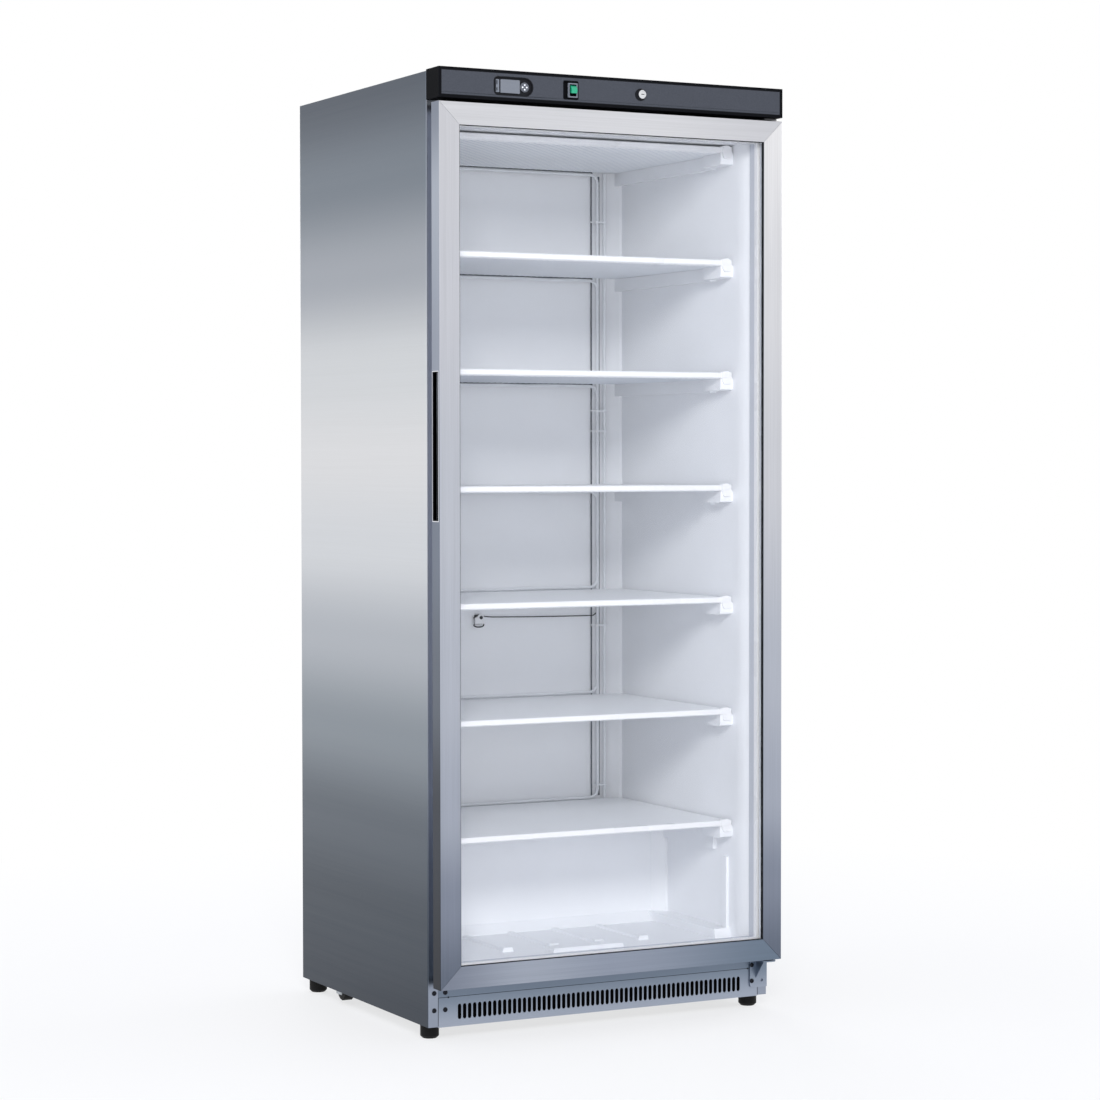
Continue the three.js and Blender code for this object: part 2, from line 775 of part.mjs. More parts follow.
// The lower hinge: an angle plate with a gusset under its tab and the pin the door stands on.
function lowerBracket() {
  const face = [
    ...corners([bracketRight, bracketLow], [bracketRight, bracketTabTop], [bracketLeft, bracketTabTop]),
    ...arc(bracketLeft + bracketCorner, bracketLow + bracketCorner, bracketCorner, 180, 270, 3),
  ];
  const hole = circle(halfWidth - bracketHole.inset, bracketHole.level, bracketHole.radius, 10);
  const plate = alongY(face, -seatGap - bracketGauge, -seatGap, [hole]);
  const tab = alongZ(tabOutline(), bracketTabTop - bracketGauge, bracketTabTop);
  const gussetX = halfWidth - gusset.inset;
  const root = -seatGap - bracketGauge / 2;
  const under = bracketTabTop - bracketGauge / 2;
  const web = alongX(
    corners([root, bracketLow + gusset.rise], [root, under], [-gusset.reach, under]),
    gussetX - gusset.gauge / 2, gussetX + gusset.gauge / 2,
  );
  const pin = rod(pinRadius, at(hingeX, hingeY, bracketTabTop - bracketGauge / 2),
    at(hingeX, hingeY, doorBottom + pinEngagement), 16);
  return joined(plate, tab, web, pin);
}

cabinet.add(mesh('hinge_bracket_lower', lowerBracket(), stainless));

// The upper hinge: a tab in the gap between door and header, with its pin pointing down.
function upperBracket() {
  const high = headerBottom - upperTabGap;
  const low = high - bracketGauge;
  const tab = alongZ(tabOutline(), low, high);
  const leg = block(bracketLeft + bracketGauge, bracketRight, -seatGap - bracketGauge, -seatGap,
    doorTop - upperPlateLow, high);
  const pin = rod(pinRadius, at(hingeX, hingeY, doorTop - pinEngagement),
    at(hingeX, hingeY, low + bracketGauge / 2), 16);
  return joined(tab, leg, pin);
}

cabinet.add(mesh('hinge_bracket_upper', upperBracket(), stainless));

// ---------- Header ----------

const headerFrame = { x0: -halfWidth, x1: halfWidth, z0: headerBottom, z1: headerTop };
const fasciaFrame = inset(headerFrame, headerRim + seatGap);
const fasciaFront = doorFront + fasciaSetBack;
const fasciaBack = fasciaFront + fasciaThickness;
const controlLevel = (headerBottom + headerTop) / 2 - 1;
const rimDepth = 2.6;
const controlBack = -12;

const lockX = 56;
const camLength = 47;
const camWidth = 12;
const camThickness = 3;
const camSetBack = 21;
const camClearance = 3;
const camFront = doorFront + camSetBack;
const camSlot = {
  x0: lockX - camWidth,
  x1: lockX + camLength + runPast,
  y0: camFront - camClearance,
  y1: camFront + camThickness + camClearance,
};

function headerHousing() {
  const rimBack = doorFront + rimDepth;
  const profile = corners(
    [0, doorFront], [headerRim, doorFront], [headerRim, rimBack], [headerWall, rimBack],
    [headerWall, -seatGap], [0, -seatGap],
  );
  const slot = block(camSlot.x0, camSlot.x1, camSlot.y0, camSlot.y1,
    headerBottom - runPast, headerBottom + headerWall + runPast);
  return without(solid(frameRing(profile, headerFrame)), slot);
}

cabinet.add(mesh('header_housing', headerHousing(), blackPlastic));

const thermostatInset = 118.5;
const thermostatWidth = 86.5;
const switchInset = 270.8;
const switchWidth = 34;
const thermostatLeft = thermostatInset - halfWidth;
const switchLeft = switchInset - halfWidth;
const thermostat = {
  x0: thermostatLeft, x1: thermostatLeft + thermostatWidth, half: 18.3,
  leftRound: 9, wall: 1.6, floorDepth: 5, floor: 2,
};
const switchPocket = {
  x0: switchLeft, x1: switchLeft + switchWidth, half: 18.5, round: 3, wall: 1.2, floorDepth: 7, floor: 2,
};
const pocketSetBack = 0.2;
const lockBodyRadius = 8.6;

// The thermostat's pocket is nearly square on the left and a half circle on the right.
function thermostatOutline(grow) {
  const right = thermostat.half + grow;
  const left = thermostat.leftRound + grow;
  const leftX = thermostat.x0 + thermostat.leftRound;
  const leftZ = thermostat.half - thermostat.leftRound;
  return [
    ...arc(thermostat.x1 - thermostat.half, controlLevel, right, -90, 90, 8),
    ...arc(leftX, controlLevel + leftZ, left, 90, 180, 3),
    ...arc(leftX, controlLevel - leftZ, left, 180, 270, 3),
  ];
}

function switchOutline(grow) {
  const { x0, x1, half, round } = switchPocket;
  return roundedRectangle(x0 - grow, x1 + grow, controlLevel - half - grow, controlLevel + half + grow,
    round + grow, 2);
}

const groove = { rise: 4, height: 1, depth: 0.8 };

function headerFascia() {
  const { x0, x1, z0, z1 } = fasciaFrame;
  const grooveLow = z0 + groove.rise;
  const grooveHigh = grooveLow + groove.height;
  const grooveBack = fasciaFront + groove.depth;
  const profile = corners(
    [fasciaBack, z0], [fasciaBack, z1], [fasciaFront, z1], [fasciaFront, grooveHigh],
    [grooveBack, grooveHigh], [grooveBack, grooveLow], [fasciaFront, grooveLow], [fasciaFront, z0],
  );
  const front = fasciaFront - runPast;
  const back = fasciaBack + runPast;
  return without(
    solid(alongX(profile, x0, x1)),
    alongY(thermostatOutline(seatGap), front, back),
    alongY(switchOutline(seatGap), front, back),
    alongY(circle(lockX, controlLevel, lockBodyRadius + seatGap, 20), front, back),
  );
}

cabinet.add(mesh('header_fascia', headerFascia(), greyPlastic));

const displayWindow = {
  x0: thermostat.x0 + 16, x1: thermostat.x0 + 58, half: 13, round: 1.5, gauge: 2,
};
const pad = { x: thermostat.x1 - 18, radius: 8.5, rise: 2 };
const button = { ring: 4.5, radius: 1.7, proud: 3, travel: 0.8, sides: 8 };
const bottomGap = 0.1;
const thermostatFloor = fasciaFront + thermostat.floorDepth;
const wellFloor = thermostatFloor + 0.6;
const buttonPlaces = [[0, 1], [1, 0], [0, -1], [-1, 0]].map(([x, z]) => (
  [pad.x + x * button.ring, controlLevel + z * button.ring]
));

function thermostatBody() {
  const tubBack = thermostatFloor + thermostat.floor;
  const tub = solid(alongY(thermostatOutline(0), fasciaFront + pocketSetBack, tubBack))
    .subtract(solid(alongY(thermostatOutline(-thermostat.wall), fasciaFront - runPast, thermostatFloor)));
  const worksInset = 10;
  const works = solid(block(thermostat.x0 + worksInset, thermostat.x1 - worksInset,
    thermostatFloor + thermostat.floor / 2, controlBack,
    controlLevel - thermostat.half + worksInset / 2, controlLevel + thermostat.half - worksInset / 2));
  const disc = solid(alongY(circle(pad.x, controlLevel, pad.radius, 20),
    thermostatFloor - pad.rise, thermostatFloor + thermostat.floor / 2));
  const wells = buttonPlaces.map(([x, z]) => (
    alongY(circle(x, z, button.radius + seatGap, button.sides),
      thermostatFloor - pad.rise - runPast, wellFloor)
  ));
  return without(tub.add(works).add(disc), ...wells);
}

cabinet.add(mesh('thermostat_body', thermostatBody(), blackPlastic));

const windowPane = alongY(
  roundedRectangle(displayWindow.x0, displayWindow.x1, controlLevel - displayWindow.half,
    controlLevel + displayWindow.half, displayWindow.round, 2),
  thermostatFloor - displayWindow.gauge - seatGap, thermostatFloor - seatGap,
);
cabinet.add(mesh('thermostat_window', windowPane, displayGrey));

for (const [index, [x, z]] of buttonPlaces.entries()) {
  const key = alongY(circle(x, z, button.radius, button.sides),
    thermostatFloor - button.proud, wellFloor - button.travel - bottomGap);
  cabinet.add(mesh(`thermostat_button_${index + 1}`, key, whitePlastic));
}

// ---------- Mains switch ----------

const bezel = { x0: switchPocket.x0 + 13.7, x1: switchPocket.x1 - 1.3, half: 15.5, round: 3, setBack: 1.5 };
const rocker = { radius: 10.4, half: 6.4, tilt: 7, edge: 62, dish: 3.4 };
const rockerX = (bezel.x0 + bezel.x1) / 2;
const pocketFloor = fasciaFront + switchPocket.floorDepth;
const rockerY = pocketFloor - 1;

function switchBezel() {
  const tub = solid(alongY(switchOutline(0), fasciaFront + pocketSetBack, pocketFloor + switchPocket.floor))
    .subtract(solid(alongY(switchOutline(-switchPocket.wall), fasciaFront - runPast, pocketFloor)));
  const collar = solid(alongY(
    roundedRectangle(bezel.x0, bezel.x1,
      controlLevel - bezel.half, controlLevel + bezel.half, bezel.round, 2),
    fasciaFront + bezel.setBack, pocketFloor + switchPocket.floor / 2,
  ));
  const side = rocker.half + seatGap;
  const clear = rocker.radius + seatGap;
  const worksSide = side + switchPocket.floor;
  const worksHalf = clear + switchPocket.floor;
  const works = solid(block(rockerX - worksSide, rockerX + worksSide, pocketFloor + switchPocket.floor / 2,
    controlBack, controlLevel - worksHalf, controlLevel + worksHalf));
  const well = block(rockerX - side, rockerX + side, fasciaFront - runPast, rockerY + clear,
    controlLevel - clear, controlLevel + clear);
  return without(tub.add(collar).add(works), well);
}

cabinet.add(mesh('switch_bezel', switchBezel(), blackPlastic));

// The rocker's body is a round drum about its pivot, with a shallow V on the front.
function switchRocker() {
  const outline = [
    ...arc(0, 0, rocker.radius, rocker.edge - 90, 270 - rocker.edge, 10),
    ...corners([0, -rocker.dish]),
  ];
  return alongX(outline, -rocker.half, rocker.half)
    .rotateX(THREE.MathUtils.degToRad(rocker.tilt))
    .translate(rockerX, rockerY, controlLevel);
}

cabinet.add(mesh('switch_rocker', switchRocker(), greenLens));

// ---------- Key lock ----------

const lockProud = 10;
const lockFront = fasciaFront - lockProud;
const plugRadius = 5.4;
const plugGap = 0.1;
const keySlot = { length: 6.8, width: 1.4, depth: 8 };
const lockNut = { radius: 12, thickness: 4.7 };

function lockBarrel() {
  const bore = plugRadius + plugGap;
  const back = camFront - 1;
  const edge = 1;
  const body = turned([
    [bore, -back], [lockBodyRadius, -back], [lockBodyRadius, -lockFront - edge],
    [lockBodyRadius - edge, -lockFront], [bore, -lockFront], [bore, -back],
  ], 20).rotateX(Math.PI / 2).translate(lockX, 0, controlLevel);
  const nutFront = fasciaBack + seatGap;
  const nut = alongY(circle(lockX, controlLevel, lockNut.radius, 6), nutFront, nutFront + lockNut.thickness);
  const hole = alongY(circle(lockX, controlLevel, bore, 20), lockFront - runPast, back + runPast);
  return without(joined(nut, body), hole);
}

cabinet.add(mesh('lock_barrel', lockBarrel(), chromed));

// The plug carries the key slot in front and the cam behind; at rest the cam lies level.
function lockPlug() {
  const camBack = camFront + camThickness;
  const plug = alongY(circle(lockX, controlLevel, plugRadius, 20), lockFront + seatGap, camBack);
  const slot = block(lockX - keySlot.length / 2, lockX + keySlot.length / 2,
    lockFront - runPast, lockFront + keySlot.depth,
    controlLevel - keySlot.width / 2, controlLevel + keySlot.width / 2);
  const half = camWidth / 2;
  const eye = half + 2;
  const cam = [
    ...arc(lockX, controlLevel, eye, 60, 300, 8),
    ...arc(lockX + camLength - half, controlLevel, half, -90, 90, 5),
  ];
  return without(joined(plug, alongY(cam, camFront, camBack)), slot);
}

cabinet.add(mesh('lock_plug', lockPlug(), chromed));

// ---------- Cold shelves ----------

const shelfSideGap = 6;
const shelfHalf = roomHalf - shelfSideGap;
const shelfSkirt = 1.5;
const tailInset = 75;
const trimGrip = 9;
const trimFace = 4.7;
const trimRound = 2;
const trimBlock = { length: 24, over: 0.8, under: 0.4, front: 1, side: 1, round: 1.5 };
const riserInset = 57;
const riserX = roomHalf - riserInset;
const riserSpacing = 17;
const riserRadius = 3.5;
const tailRadius = 3;
const riserY = roomBack - 13;
const columnClearance = 8;

// A cold shelf is a shallow hollow plate, open only in front, where the trim closes it.
// Its rear corners are cut back for the liner's corner columns.
function evaporatorShelf() {
  const plateTop = -trimLip;
  const plateLow = plateTop - shelfSheet;
  const foot = -trimHeight - shelfBelowTrim + seatGap;
  const cut = roomHalf - columnReach - columnClearance;
  const notch = Math.max(0, shelfBack - (roomBack - columnDepth) + columnClearance);
  const outline = (margin, front) => corners(
    [-shelfHalf + margin, front], [shelfHalf - margin, front],
    [shelfHalf - margin, shelfBack - notch - margin], [cut - margin, shelfBack - notch - margin],
    [cut - margin, shelfBack - margin], [-cut + margin, shelfBack - margin],
    [-cut + margin, shelfBack - notch - margin], [-shelfHalf + margin, shelfBack - notch - margin],
  );
  const front = shelfFront + trimFace + seatGap;
  const jawBack = shelfFront + trimGrip + seatGap;
  const plate = alongZ(outline(0, front), foot, plateTop);
  const hollow = alongZ(outline(shelfSkirt, front - runPast), foot + shelfSkin, plateLow);
  const jawRoom = block(-shelfHalf + trimBlock.length - seatGap, shelfHalf - trimBlock.length + seatGap,
    front - runPast, jawBack, foot - runPast, plateLow);
  // The tail leaves the rear edge and turns to the pipes.
  const level = (foot + shelfSkin + plateLow) / 2;
  const tailX = shelfHalf - tailInset;
  const tail = tube([
    at(tailX, shelfBack - shelfSkirt / 2, level), at(tailX, riserY - 2 * riserRadius, level),
    at(tailX + 2 * riserRadius, riserY, level), at(riserX - riserRadius - seatGap, riserY, level),
  ], tailRadius, 6);
  return without(joined(plate, tail), hollow, jawRoom);
}

// The front trim grips the plate's edge and ends in a block on each side.
function shelfTrim() {
  const grip = shelfFront + trimGrip;
  const face = shelfFront + trimFace;
  const jawHigh = -trimLip + seatGap;
  const jawLow = -trimLip - shelfSheet - seatGap;
  const section = [
    ...arc(shelfFront + trimRound, -trimHeight + trimRound, trimRound, 270, 180, 1),
    ...arc(shelfFront + trimRound, -trimRound, trimRound, 180, 90, 1),
    ...corners(
      [grip, 0], [grip, jawHigh], [face, jawHigh], [face, jawLow], [grip, jawLow], [grip, -trimHeight],
    ),
  ];
  const reach = shelfHalf - trimBlock.length;
  const profile = roundedRectangle(shelfFront - trimBlock.front, face,
    -trimHeight - trimBlock.under, trimBlock.over, trimBlock.round, 1);
  const end = shelfHalf + trimBlock.side;
  return joined(
    alongX(section, -reach, reach),
    alongX(profile, -end, -reach + runPast),
    alongX(profile, reach - runPast, end),
  );
}

const shelfGeometry = geometryOf(evaporatorShelf());
const trimGeometry = geometryOf(shelfTrim());
for (let index = 0; index < shelfCount; index += 1) {
  const number = shelfCount - index;
  const shelf = mesh(`evaporator_shelf_${number}`, shelfGeometry, whiteEnamel);
  const trim = mesh(`shelf_trim_${number}`, trimGeometry, whitePlastic);
  shelf.position.z = shelfTop(index);
  trim.position.z = shelfTop(index);
  cabinet.add(shelf, trim);
}

const riserRun = { end: -0.7 * roomHalf, bend: 18, rise: 1, drop: 5 };
const tieHeight = 4;
const tieOver = 1;
const tieDrops = [0.47, 2.26, 2.45, 4.3].map((share) => share * shelfPitch);

// Two upright pipes in the rear corner feed the shelves and are tied together. The left one
// turns along the rear edge of the top and of the bottom shelf.
function refrigerantRisers() {
  const low = humpTop + linerWall;
  const high = shelfTop(shelfCount - 1) - trimHeight;
  const lowRun = shelfTop(0) + riserRun.rise;
  const highRun = high - riserRun.drop;
  const turnAt = (z, degrees, up) => arc(riserX - riserRun.bend, z, riserRun.bend, degrees, degrees + 90, 3)
    .map((point) => at(point.x, riserY, point.y + up * riserRun.bend));
  const pipes = [
    tube([
      at(riserRun.end, riserY, lowRun), ...turnAt(lowRun, -90, 1),
      ...turnAt(highRun, 0, -1), at(riserRun.end, riserY, highRun),
    ], riserRadius, 8),
    rod(riserRadius, at(riserX + riserSpacing, riserY, low), at(riserX + riserSpacing, riserY, high), 8),
  ];
  const reach = riserRadius + tieOver;
  const ties = [low + riserRun.bend + 30, ...tieDrops.map((drop) => high - drop)].map((z) => (
    block(riserX - reach, riserX + riserSpacing + reach, riserY - reach, riserY + reach,
      z - tieHeight / 2, z + tieHeight / 2)
  ));
  return joined(...pipes, ...ties);
}

cabinet.add(mesh('refrigerant_risers', refrigerantRisers(), whiteEnamel));

const probeLevel = 793;
const leadRadius = 1.2;
const probeClip = { x: -12, width: 16, low: 12, high: 9, depth: 4 };
const leadSetBack = 3;

// The probe's lead lies along the rear wall from its clip to the pipes.
function probeLead() {
  const level = probeLevel;
  const y = roomBack - leadSetBack;
  const x = probeClip.x;
  const bendX = riserX + riserRadius + leadRadius + seatGap;
  const along = (share, drop) => at(THREE.MathUtils.lerp(x, bendX, share), y, level + drop);
  const lead = tube([
    at(x - 2, y, level - 8), at(x - 8, y, level - 4), at(x - 10, y, level + 3),
    at(x - 5, y, level + 8), at(x + 3, y, level + 6), along(0.11, 3), along(0.44, 1), along(0.78, 0),
    at(bendX - 11, y, level), at(bendX - 2, y, level + 6), at(bendX + 1, y, level + 16),
    at(bendX + 1, y, level + 60),
  ], leadRadius, 6);
  const clip = block(x - probeClip.width / 2, x + probeClip.width / 2,
    y - probeClip.depth, roomBack - seatGap, level - probeClip.low, level + probeClip.high);
  return joined(lead, clip);
}

cabinet.add(mesh('probe_lead', probeLead(), blackPlastic));

// ---------- Machine room ----------

const machineSeat = machineFloor + seatGap;
const machineSetBack = 118;
const compressorInset = 259.5;
const compressorX = machineHalf - compressorInset;
const compressorY = cabinetDepth - machineSetBack;
const shell = {
  flat: 48, radius: 72, round: 30, seamLevel: 66, seamHeight: 5, seamReach: 3,
  crown: 40, shoulder: 152, height: 158, stretch: 1.25,
};
const mountPlate = { halfX: 100, halfY: 70, round: 12, low: 16, gauge: 8 };
const grommet = { x: 84, y: 54, radius: 12, height: 20 };
const terminalBox = { x0: 78, x1: 112, half: 28, low: 60, high: 118 };
const pipeStubs = [[-20, 60], [20, 74], [0, 52]];
const stub = { radius: 4, level: 104, start: 60, reach: 92, bend: 8 };

// A hermetic compressor: a welded oval shell with a seam, on a plate with four rubber feet.
function compressor() {
  const shellLow = machineSeat + mountPlate.low + mountPlate.gauge / 2;
  const seamTop = shell.seamLevel + shell.seamHeight;
  const rim = shell.radius + shell.seamReach;
  const dome = turned([
    [0, 0],
    ...quarter(shell.flat, 0, shell.radius, shell.round, 3).map((point) => [point.x, point.y]),
    [shell.radius, shell.seamLevel], [rim, shell.seamLevel], [rim, seamTop], [shell.radius, seamTop],
    ...quarter(shell.crown, shell.shoulder, shell.radius, seamTop + shell.round, 4)
      .reverse().map((point) => [point.x, point.y]),
    [0, shell.height],
  ], 14).scale(shell.stretch, 1, 1).translate(compressorX, compressorY, shellLow);
  const plate = alongZ(
    roundedRectangle(compressorX - mountPlate.halfX, compressorX + mountPlate.halfX,
      compressorY - mountPlate.halfY, compressorY + mountPlate.halfY, mountPlate.round, 2),
    machineSeat + mountPlate.low, machineSeat + mountPlate.low + mountPlate.gauge,
  );
  const box = block(compressorX + terminalBox.x0, compressorX + terminalBox.x1,
    compressorY - terminalBox.half, compressorY + terminalBox.half,
    machineSeat + terminalBox.low, machineSeat + terminalBox.high);
  const parts = [dome, plate, box];
  for (const dx of [-grommet.x, grommet.x]) {
    for (const dy of [-grommet.y, grommet.y]) {
      const foot = at(compressorX + dx, compressorY + dy, machineSeat);
      const top = at(compressorX + dx, compressorY + dy, machineSeat + grommet.height);
      parts.push(rod(grommet.radius, foot, top, 10));
    }
  }
  for (const [dx, rise] of pipeStubs) {
    const x = compressorX + dx;
    const z = machineSeat + stub.level;
    parts.push(tube([
      at(x, compressorY + stub.start, z), at(x, compressorY + stub.reach - stub.bend, z),
      at(x, compressorY + stub.reach, z + stub.bend), at(x, compressorY + stub.reach, z + rise),
    ], stub.radius, 6));
  }
  return joined(...parts);
}

cabinet.add(mesh('compressor', compressor(), blackEnamel));

const condenserInset = 23.5;
const finDepth = 80;
const finBlock = { x0: condenserInset - machineHalf, width: 190, height: 186 };
const finPitch = 27;
const finGauge = 0.8;
const endPlateGauge = 1.5;
const finLift = 6;
const tubeRows = 4;
const tubeRadius = 5;
const tubeMargin = 22;
const tubeReach = 5;
const fanY = compressorY;
const fanZ = machineSeat + finBlock.height / 2;

// A block of fins on a to-and-fro tube between two end plates.
function condenser() {
  const { x0, width, height } = finBlock;
  const x1 = x0 + finDepth;
  const y0 = fanY - width / 2;
  const parts = [];
  const fins = Math.round(width / finPitch);
  for (let i = 0; i <= fins; i += 1) {
    const y = y0 + (width * i) / fins;
    const end = i === 0 || i === fins;
    const half = (end ? endPlateGauge : finGauge) / 2;
    parts.push(block(x0, x1, y - half, y + half, machineSeat + (end ? 0 : finLift), machineSeat + height));
  }
  const rowPitch = (height - 2 * tubeMargin) / (tubeRows - 1);
  const x = (x0 + x1) / 2;
  for (let row = 0; row < tubeRows; row += 1) {
    const z = machineSeat + tubeMargin + row * rowPitch;
    parts.push(rod(tubeRadius, at(x, y0 - tubeReach, z), at(x, y0 + width + tubeReach, z), 6));
    if (row < tubeRows - 1) {
      const y = row % 2 === 0 ? y0 + width + tubeReach - 1 : y0 - tubeReach + 1;
      parts.push(rod(tubeRadius, at(x, y, z), at(x, y, z + rowPitch), 6));
    }
  }
  return joined(...parts);
}

cabinet.add(mesh('condenser', condenser(), blackEnamel));

const fanRadius = 76;
const tipGap = 4;
const shroudWall = 2;
const shroudX = finBlock.x0 + finDepth + seatGap;
const shroudDepth = 34;
const fanSetIn = 16;
const fanToMotor = 26;
const fanX = shroudX + fanSetIn;
const motorX = fanX + fanToMotor;
const motor = { radius: 26, length: 42 };
const arm = { width: 12, gauge: 3, root: 20, set: 2 };
const hub = { radius: 18, front: 8 };
const blades = { count: 5, root: 14, halfRoot: 11, halfTip: 28, gauge: 1.6, pitch: 14 };

// The fan's square shroud, with its motor on three arms behind the blades.
function fanShroud() {
  const faceHalf = finBlock.width / 2;
  const faceTop = machineSeat + finBlock.height;
  const face = corners(
    [fanY - faceHalf, machineSeat], [fanY + faceHalf, machineSeat],
    [fanY + faceHalf, faceTop], [fanY - faceHalf, faceTop],
  );
  const boreRadius = fanRadius + tipGap;
  const bore = circle(fanY, fanZ, boreRadius, 24);
  const parts = [
    alongX(face, shroudX, shroudX + shroudWall, [bore]),
    alongX(circle(fanY, fanZ, boreRadius + shroudWall, 24), shroudX, shroudX + shroudDepth, [bore]),
    rod(motor.radius, at(motorX, fanY, fanZ), at(motorX + motor.length, fanY, fanZ), 14),
  ];
  const armBack = motorX + arm.set + arm.gauge;
  const rim = boreRadius + shroudWall;
  for (const degrees of [90, 210, 330]) {
    const angle = Math.PI / 2 - THREE.MathUtils.degToRad(degrees);
    const half = arm.width / 2;
    const spoke = block(motorX + arm.set, armBack, -half, half, arm.root, rim);
    const foot = block(shroudX + shroudDepth - arm.gauge, armBack, -half, half, rim - arm.gauge, rim);
    parts.push(spoke.rotateX(angle).translate(0, fanY, fanZ), foot.rotateX(angle).translate(0, fanY, fanZ));
  }
  return joined(...parts);
}

cabinet.add(mesh('fan_shroud', fanShroud(), galvanised));

function fanBlade() {
  const parts = [rod(hub.radius, at(fanX - hub.front, 0, 0), at(motorX - seatGap, 0, 0), 14)];
  const tilt = new THREE.Matrix4().makeRotationY(THREE.MathUtils.degToRad(blades.pitch));
  for (let i = 0; i < blades.count; i += 1) {
    const outline = [
      ...corners([-blades.halfRoot, blades.root], [blades.halfRoot, blades.root]),
      ...arc(0, 0, fanRadius, 90 - blades.halfTip, 90 + blades.halfTip, 5),
    ];
    const blade = extrude(outline, blades.gauge).translate(0, 0, -blades.gauge / 2).rotateY(Math.PI / 2);
    blade.applyMatrix4(tilt).rotateX((i * 2 * Math.PI) / blades.count);
    parts.push(blade.translate(fanX, 0, 0));
  }
  return joined(...parts);
}

const fan = mesh('fan_blade', fanBlade(), blackPlastic);
fan.position.set(0, fanY, fanZ);
cabinet.add(fan);

// ---------- Feet and rollers ----------

const footChamfer = 5;
const studLength = 22;

for (const place of footPlaces) {
  const high = cabinetBottom - seatGap;
  const foot = turned([
    [0, 0], [footRadius - footChamfer, 0], [footRadius, footChamfer], [footRadius, high],
    [studRadius, high], [studRadius, high + studLength], [0, high + studLength],
  ], 14).translate(place.x, place.y, 0);
  cabinet.add(mesh(`foot_${place.name}`, foot, blackPlastic));
}

const treadEdge = 2;

for (const side of [-1, 1]) {
  const half = rollerWidth / 2;
  const bore = axleRadius + runningGap;
  const wheel = turned([
    [bore, -half], [rollerRadius - treadEdge, -half], [rollerRadius, -half + treadEdge],
    [rollerRadius, half - treadEdge], [rollerRadius - treadEdge, half], [bore, half], [bore, -half],
  ], 16).rotateY(Math.PI / 2).translate(side * rollerX, rollerY, rollerZ);
  cabinet.add(mesh(side < 0 ? 'roller_left' : 'roller_right', wheel, blackPlastic));
}

// ---------- Door ----------

const door = new THREE.Group();

const innerFrameRim = 2;
const lipBack = doorFront + frontLip;
const metalBack = doorBack - innerFrameRim;

// The outer frame's profile: a hollow box with a lip that holds the glass from the front.
function stileProfile() {
  return [
    ...arc(cornerRadius, doorFront + cornerRadius, cornerRadius, 180, 270, 2),
    ...corners(
      [stileWidth, doorFront], [stileWidth, lipBack], [glassRebate, lipBack], [glassRebate, metalBack],
      [0, metalBack],
    ),
  ];
}

function stileHollow() {
  return corners(
    [stileWall, doorFront + stileWall], [stileWall, metalBack - stileWall],
    [glassRebate - stileWall, metalBack - stileWall], [glassRebate - stileWall, doorFront + stileWall],
  );
}

const handle = {
  low: 1020.5, high: 1308.5, front: doorFront + 5, back: doorBack - 5, depth: 20, wall: 2, lip: 3, scoop: 26,
};
const mitreGap = seatGap / 2;
const pinHoleGap = 0.5;

// What a rail loses beyond the mitre at one end, so that it meets the stile with a hairline gap.
function mitreRelief(side, end) {
  const up = side === 'top' ? 1 : -1;
  const edgeZ = side === 'top' ? doorTop : doorBottom;
  const shift = end * mitreGap * Math.SQRT2;
  const past = 5;
  const outer = end * (halfWidth + 2 * past);
  const inner = end * (halfWidth - stileWidth - past) - shift;
  const low = edgeZ - up * (stileWidth + past);
  const high = edgeZ + up * past;
  return alongY(
    corners([end * (halfWidth + past) - shift, high], [inner, low], [outer, low], [outer, high]),
    doorFront - runPast, doorBack + runPast,
  );
}

function doorMember(side) {
  const bar = solid(frameBar(stileProfile(), doorFrame, side, [stileHollow()]));
  const relief = [];
  if (side === 'top' || side === 'bottom') {
    relief.push(mitreRelief(side, -1), mitreRelief(side, 1));
  }
  if (side === 'left') {
    relief.push(block(-halfWidth - runPast, -halfWidth + stileWall + runPast,
      handle.front - seatGap, handle.back + seatGap, handle.low - seatGap, handle.high + seatGap));
  }
  if (side === 'top') {
    const low = doorTop - stileWall - runPast;
    const high = doorTop + runPast;
    relief.push(block(camSlot.x0 + camClearance, camSlot.x1 - camClearance,
      camSlot.y0, camSlot.y1, low, high));
    relief.push(alongZ(circle(hingeX, hingeY, pinRadius + pinHoleGap, 16), low, high));
  }
  if (side === 'bottom') {
    const hole = circle(hingeX, hingeY, bushRadius + seatGap, 16);
    relief.push(alongZ(hole, doorBottom - runPast, doorBottom + stileWall + runPast));
  }
  return without(bar, ...relief);
}

for (const [side, name] of [['left', 'door_stile_left'], ['right', 'door_stile_right'],
  ['top', 'door_rail_top'], ['bottom', 'door_rail_bottom']]) {
  door.add(mesh(name, doorMember(side), satinAluminium));
}

const bushGap = 0.1;

// A flanged bush carries the door on the lower pin.
function doorBush() {
  const bore = pinRadius + bushGap;
  const low = bracketTabTop + seatGap;
  const flangeTop = doorBottom - seatGap;
  const high = doorBottom + pinEngagement - 1;
  return turned([
    [bore, low], [bushRadius + bushFlange, low], [bushRadius + bushFlange, flangeTop],
    [bushRadius, flangeTop], [bushRadius, high], [bore, high], [bore, low],
  ], 16).translate(hingeX, hingeY, 0);
}

door.add(mesh('door_bush', doorBush(), blackPlastic));

const paneFrame = inset(doorFrame, glassRebate + seatGap);
const outerPaneFront = lipBack + seatGap;
const outerPaneBack = outerPaneFront + paneThickness;
const innerPaneFront = outerPaneBack + glazingCavity;
const innerPaneBack = innerPaneFront + paneThickness;
const spacerInset = 2;
const spacerWidth = 9;

function pane(front, back) {
  const { x0, x1, z0, z1 } = paneFrame;
  return block(x0, x1, front, back, z0, z1);
}

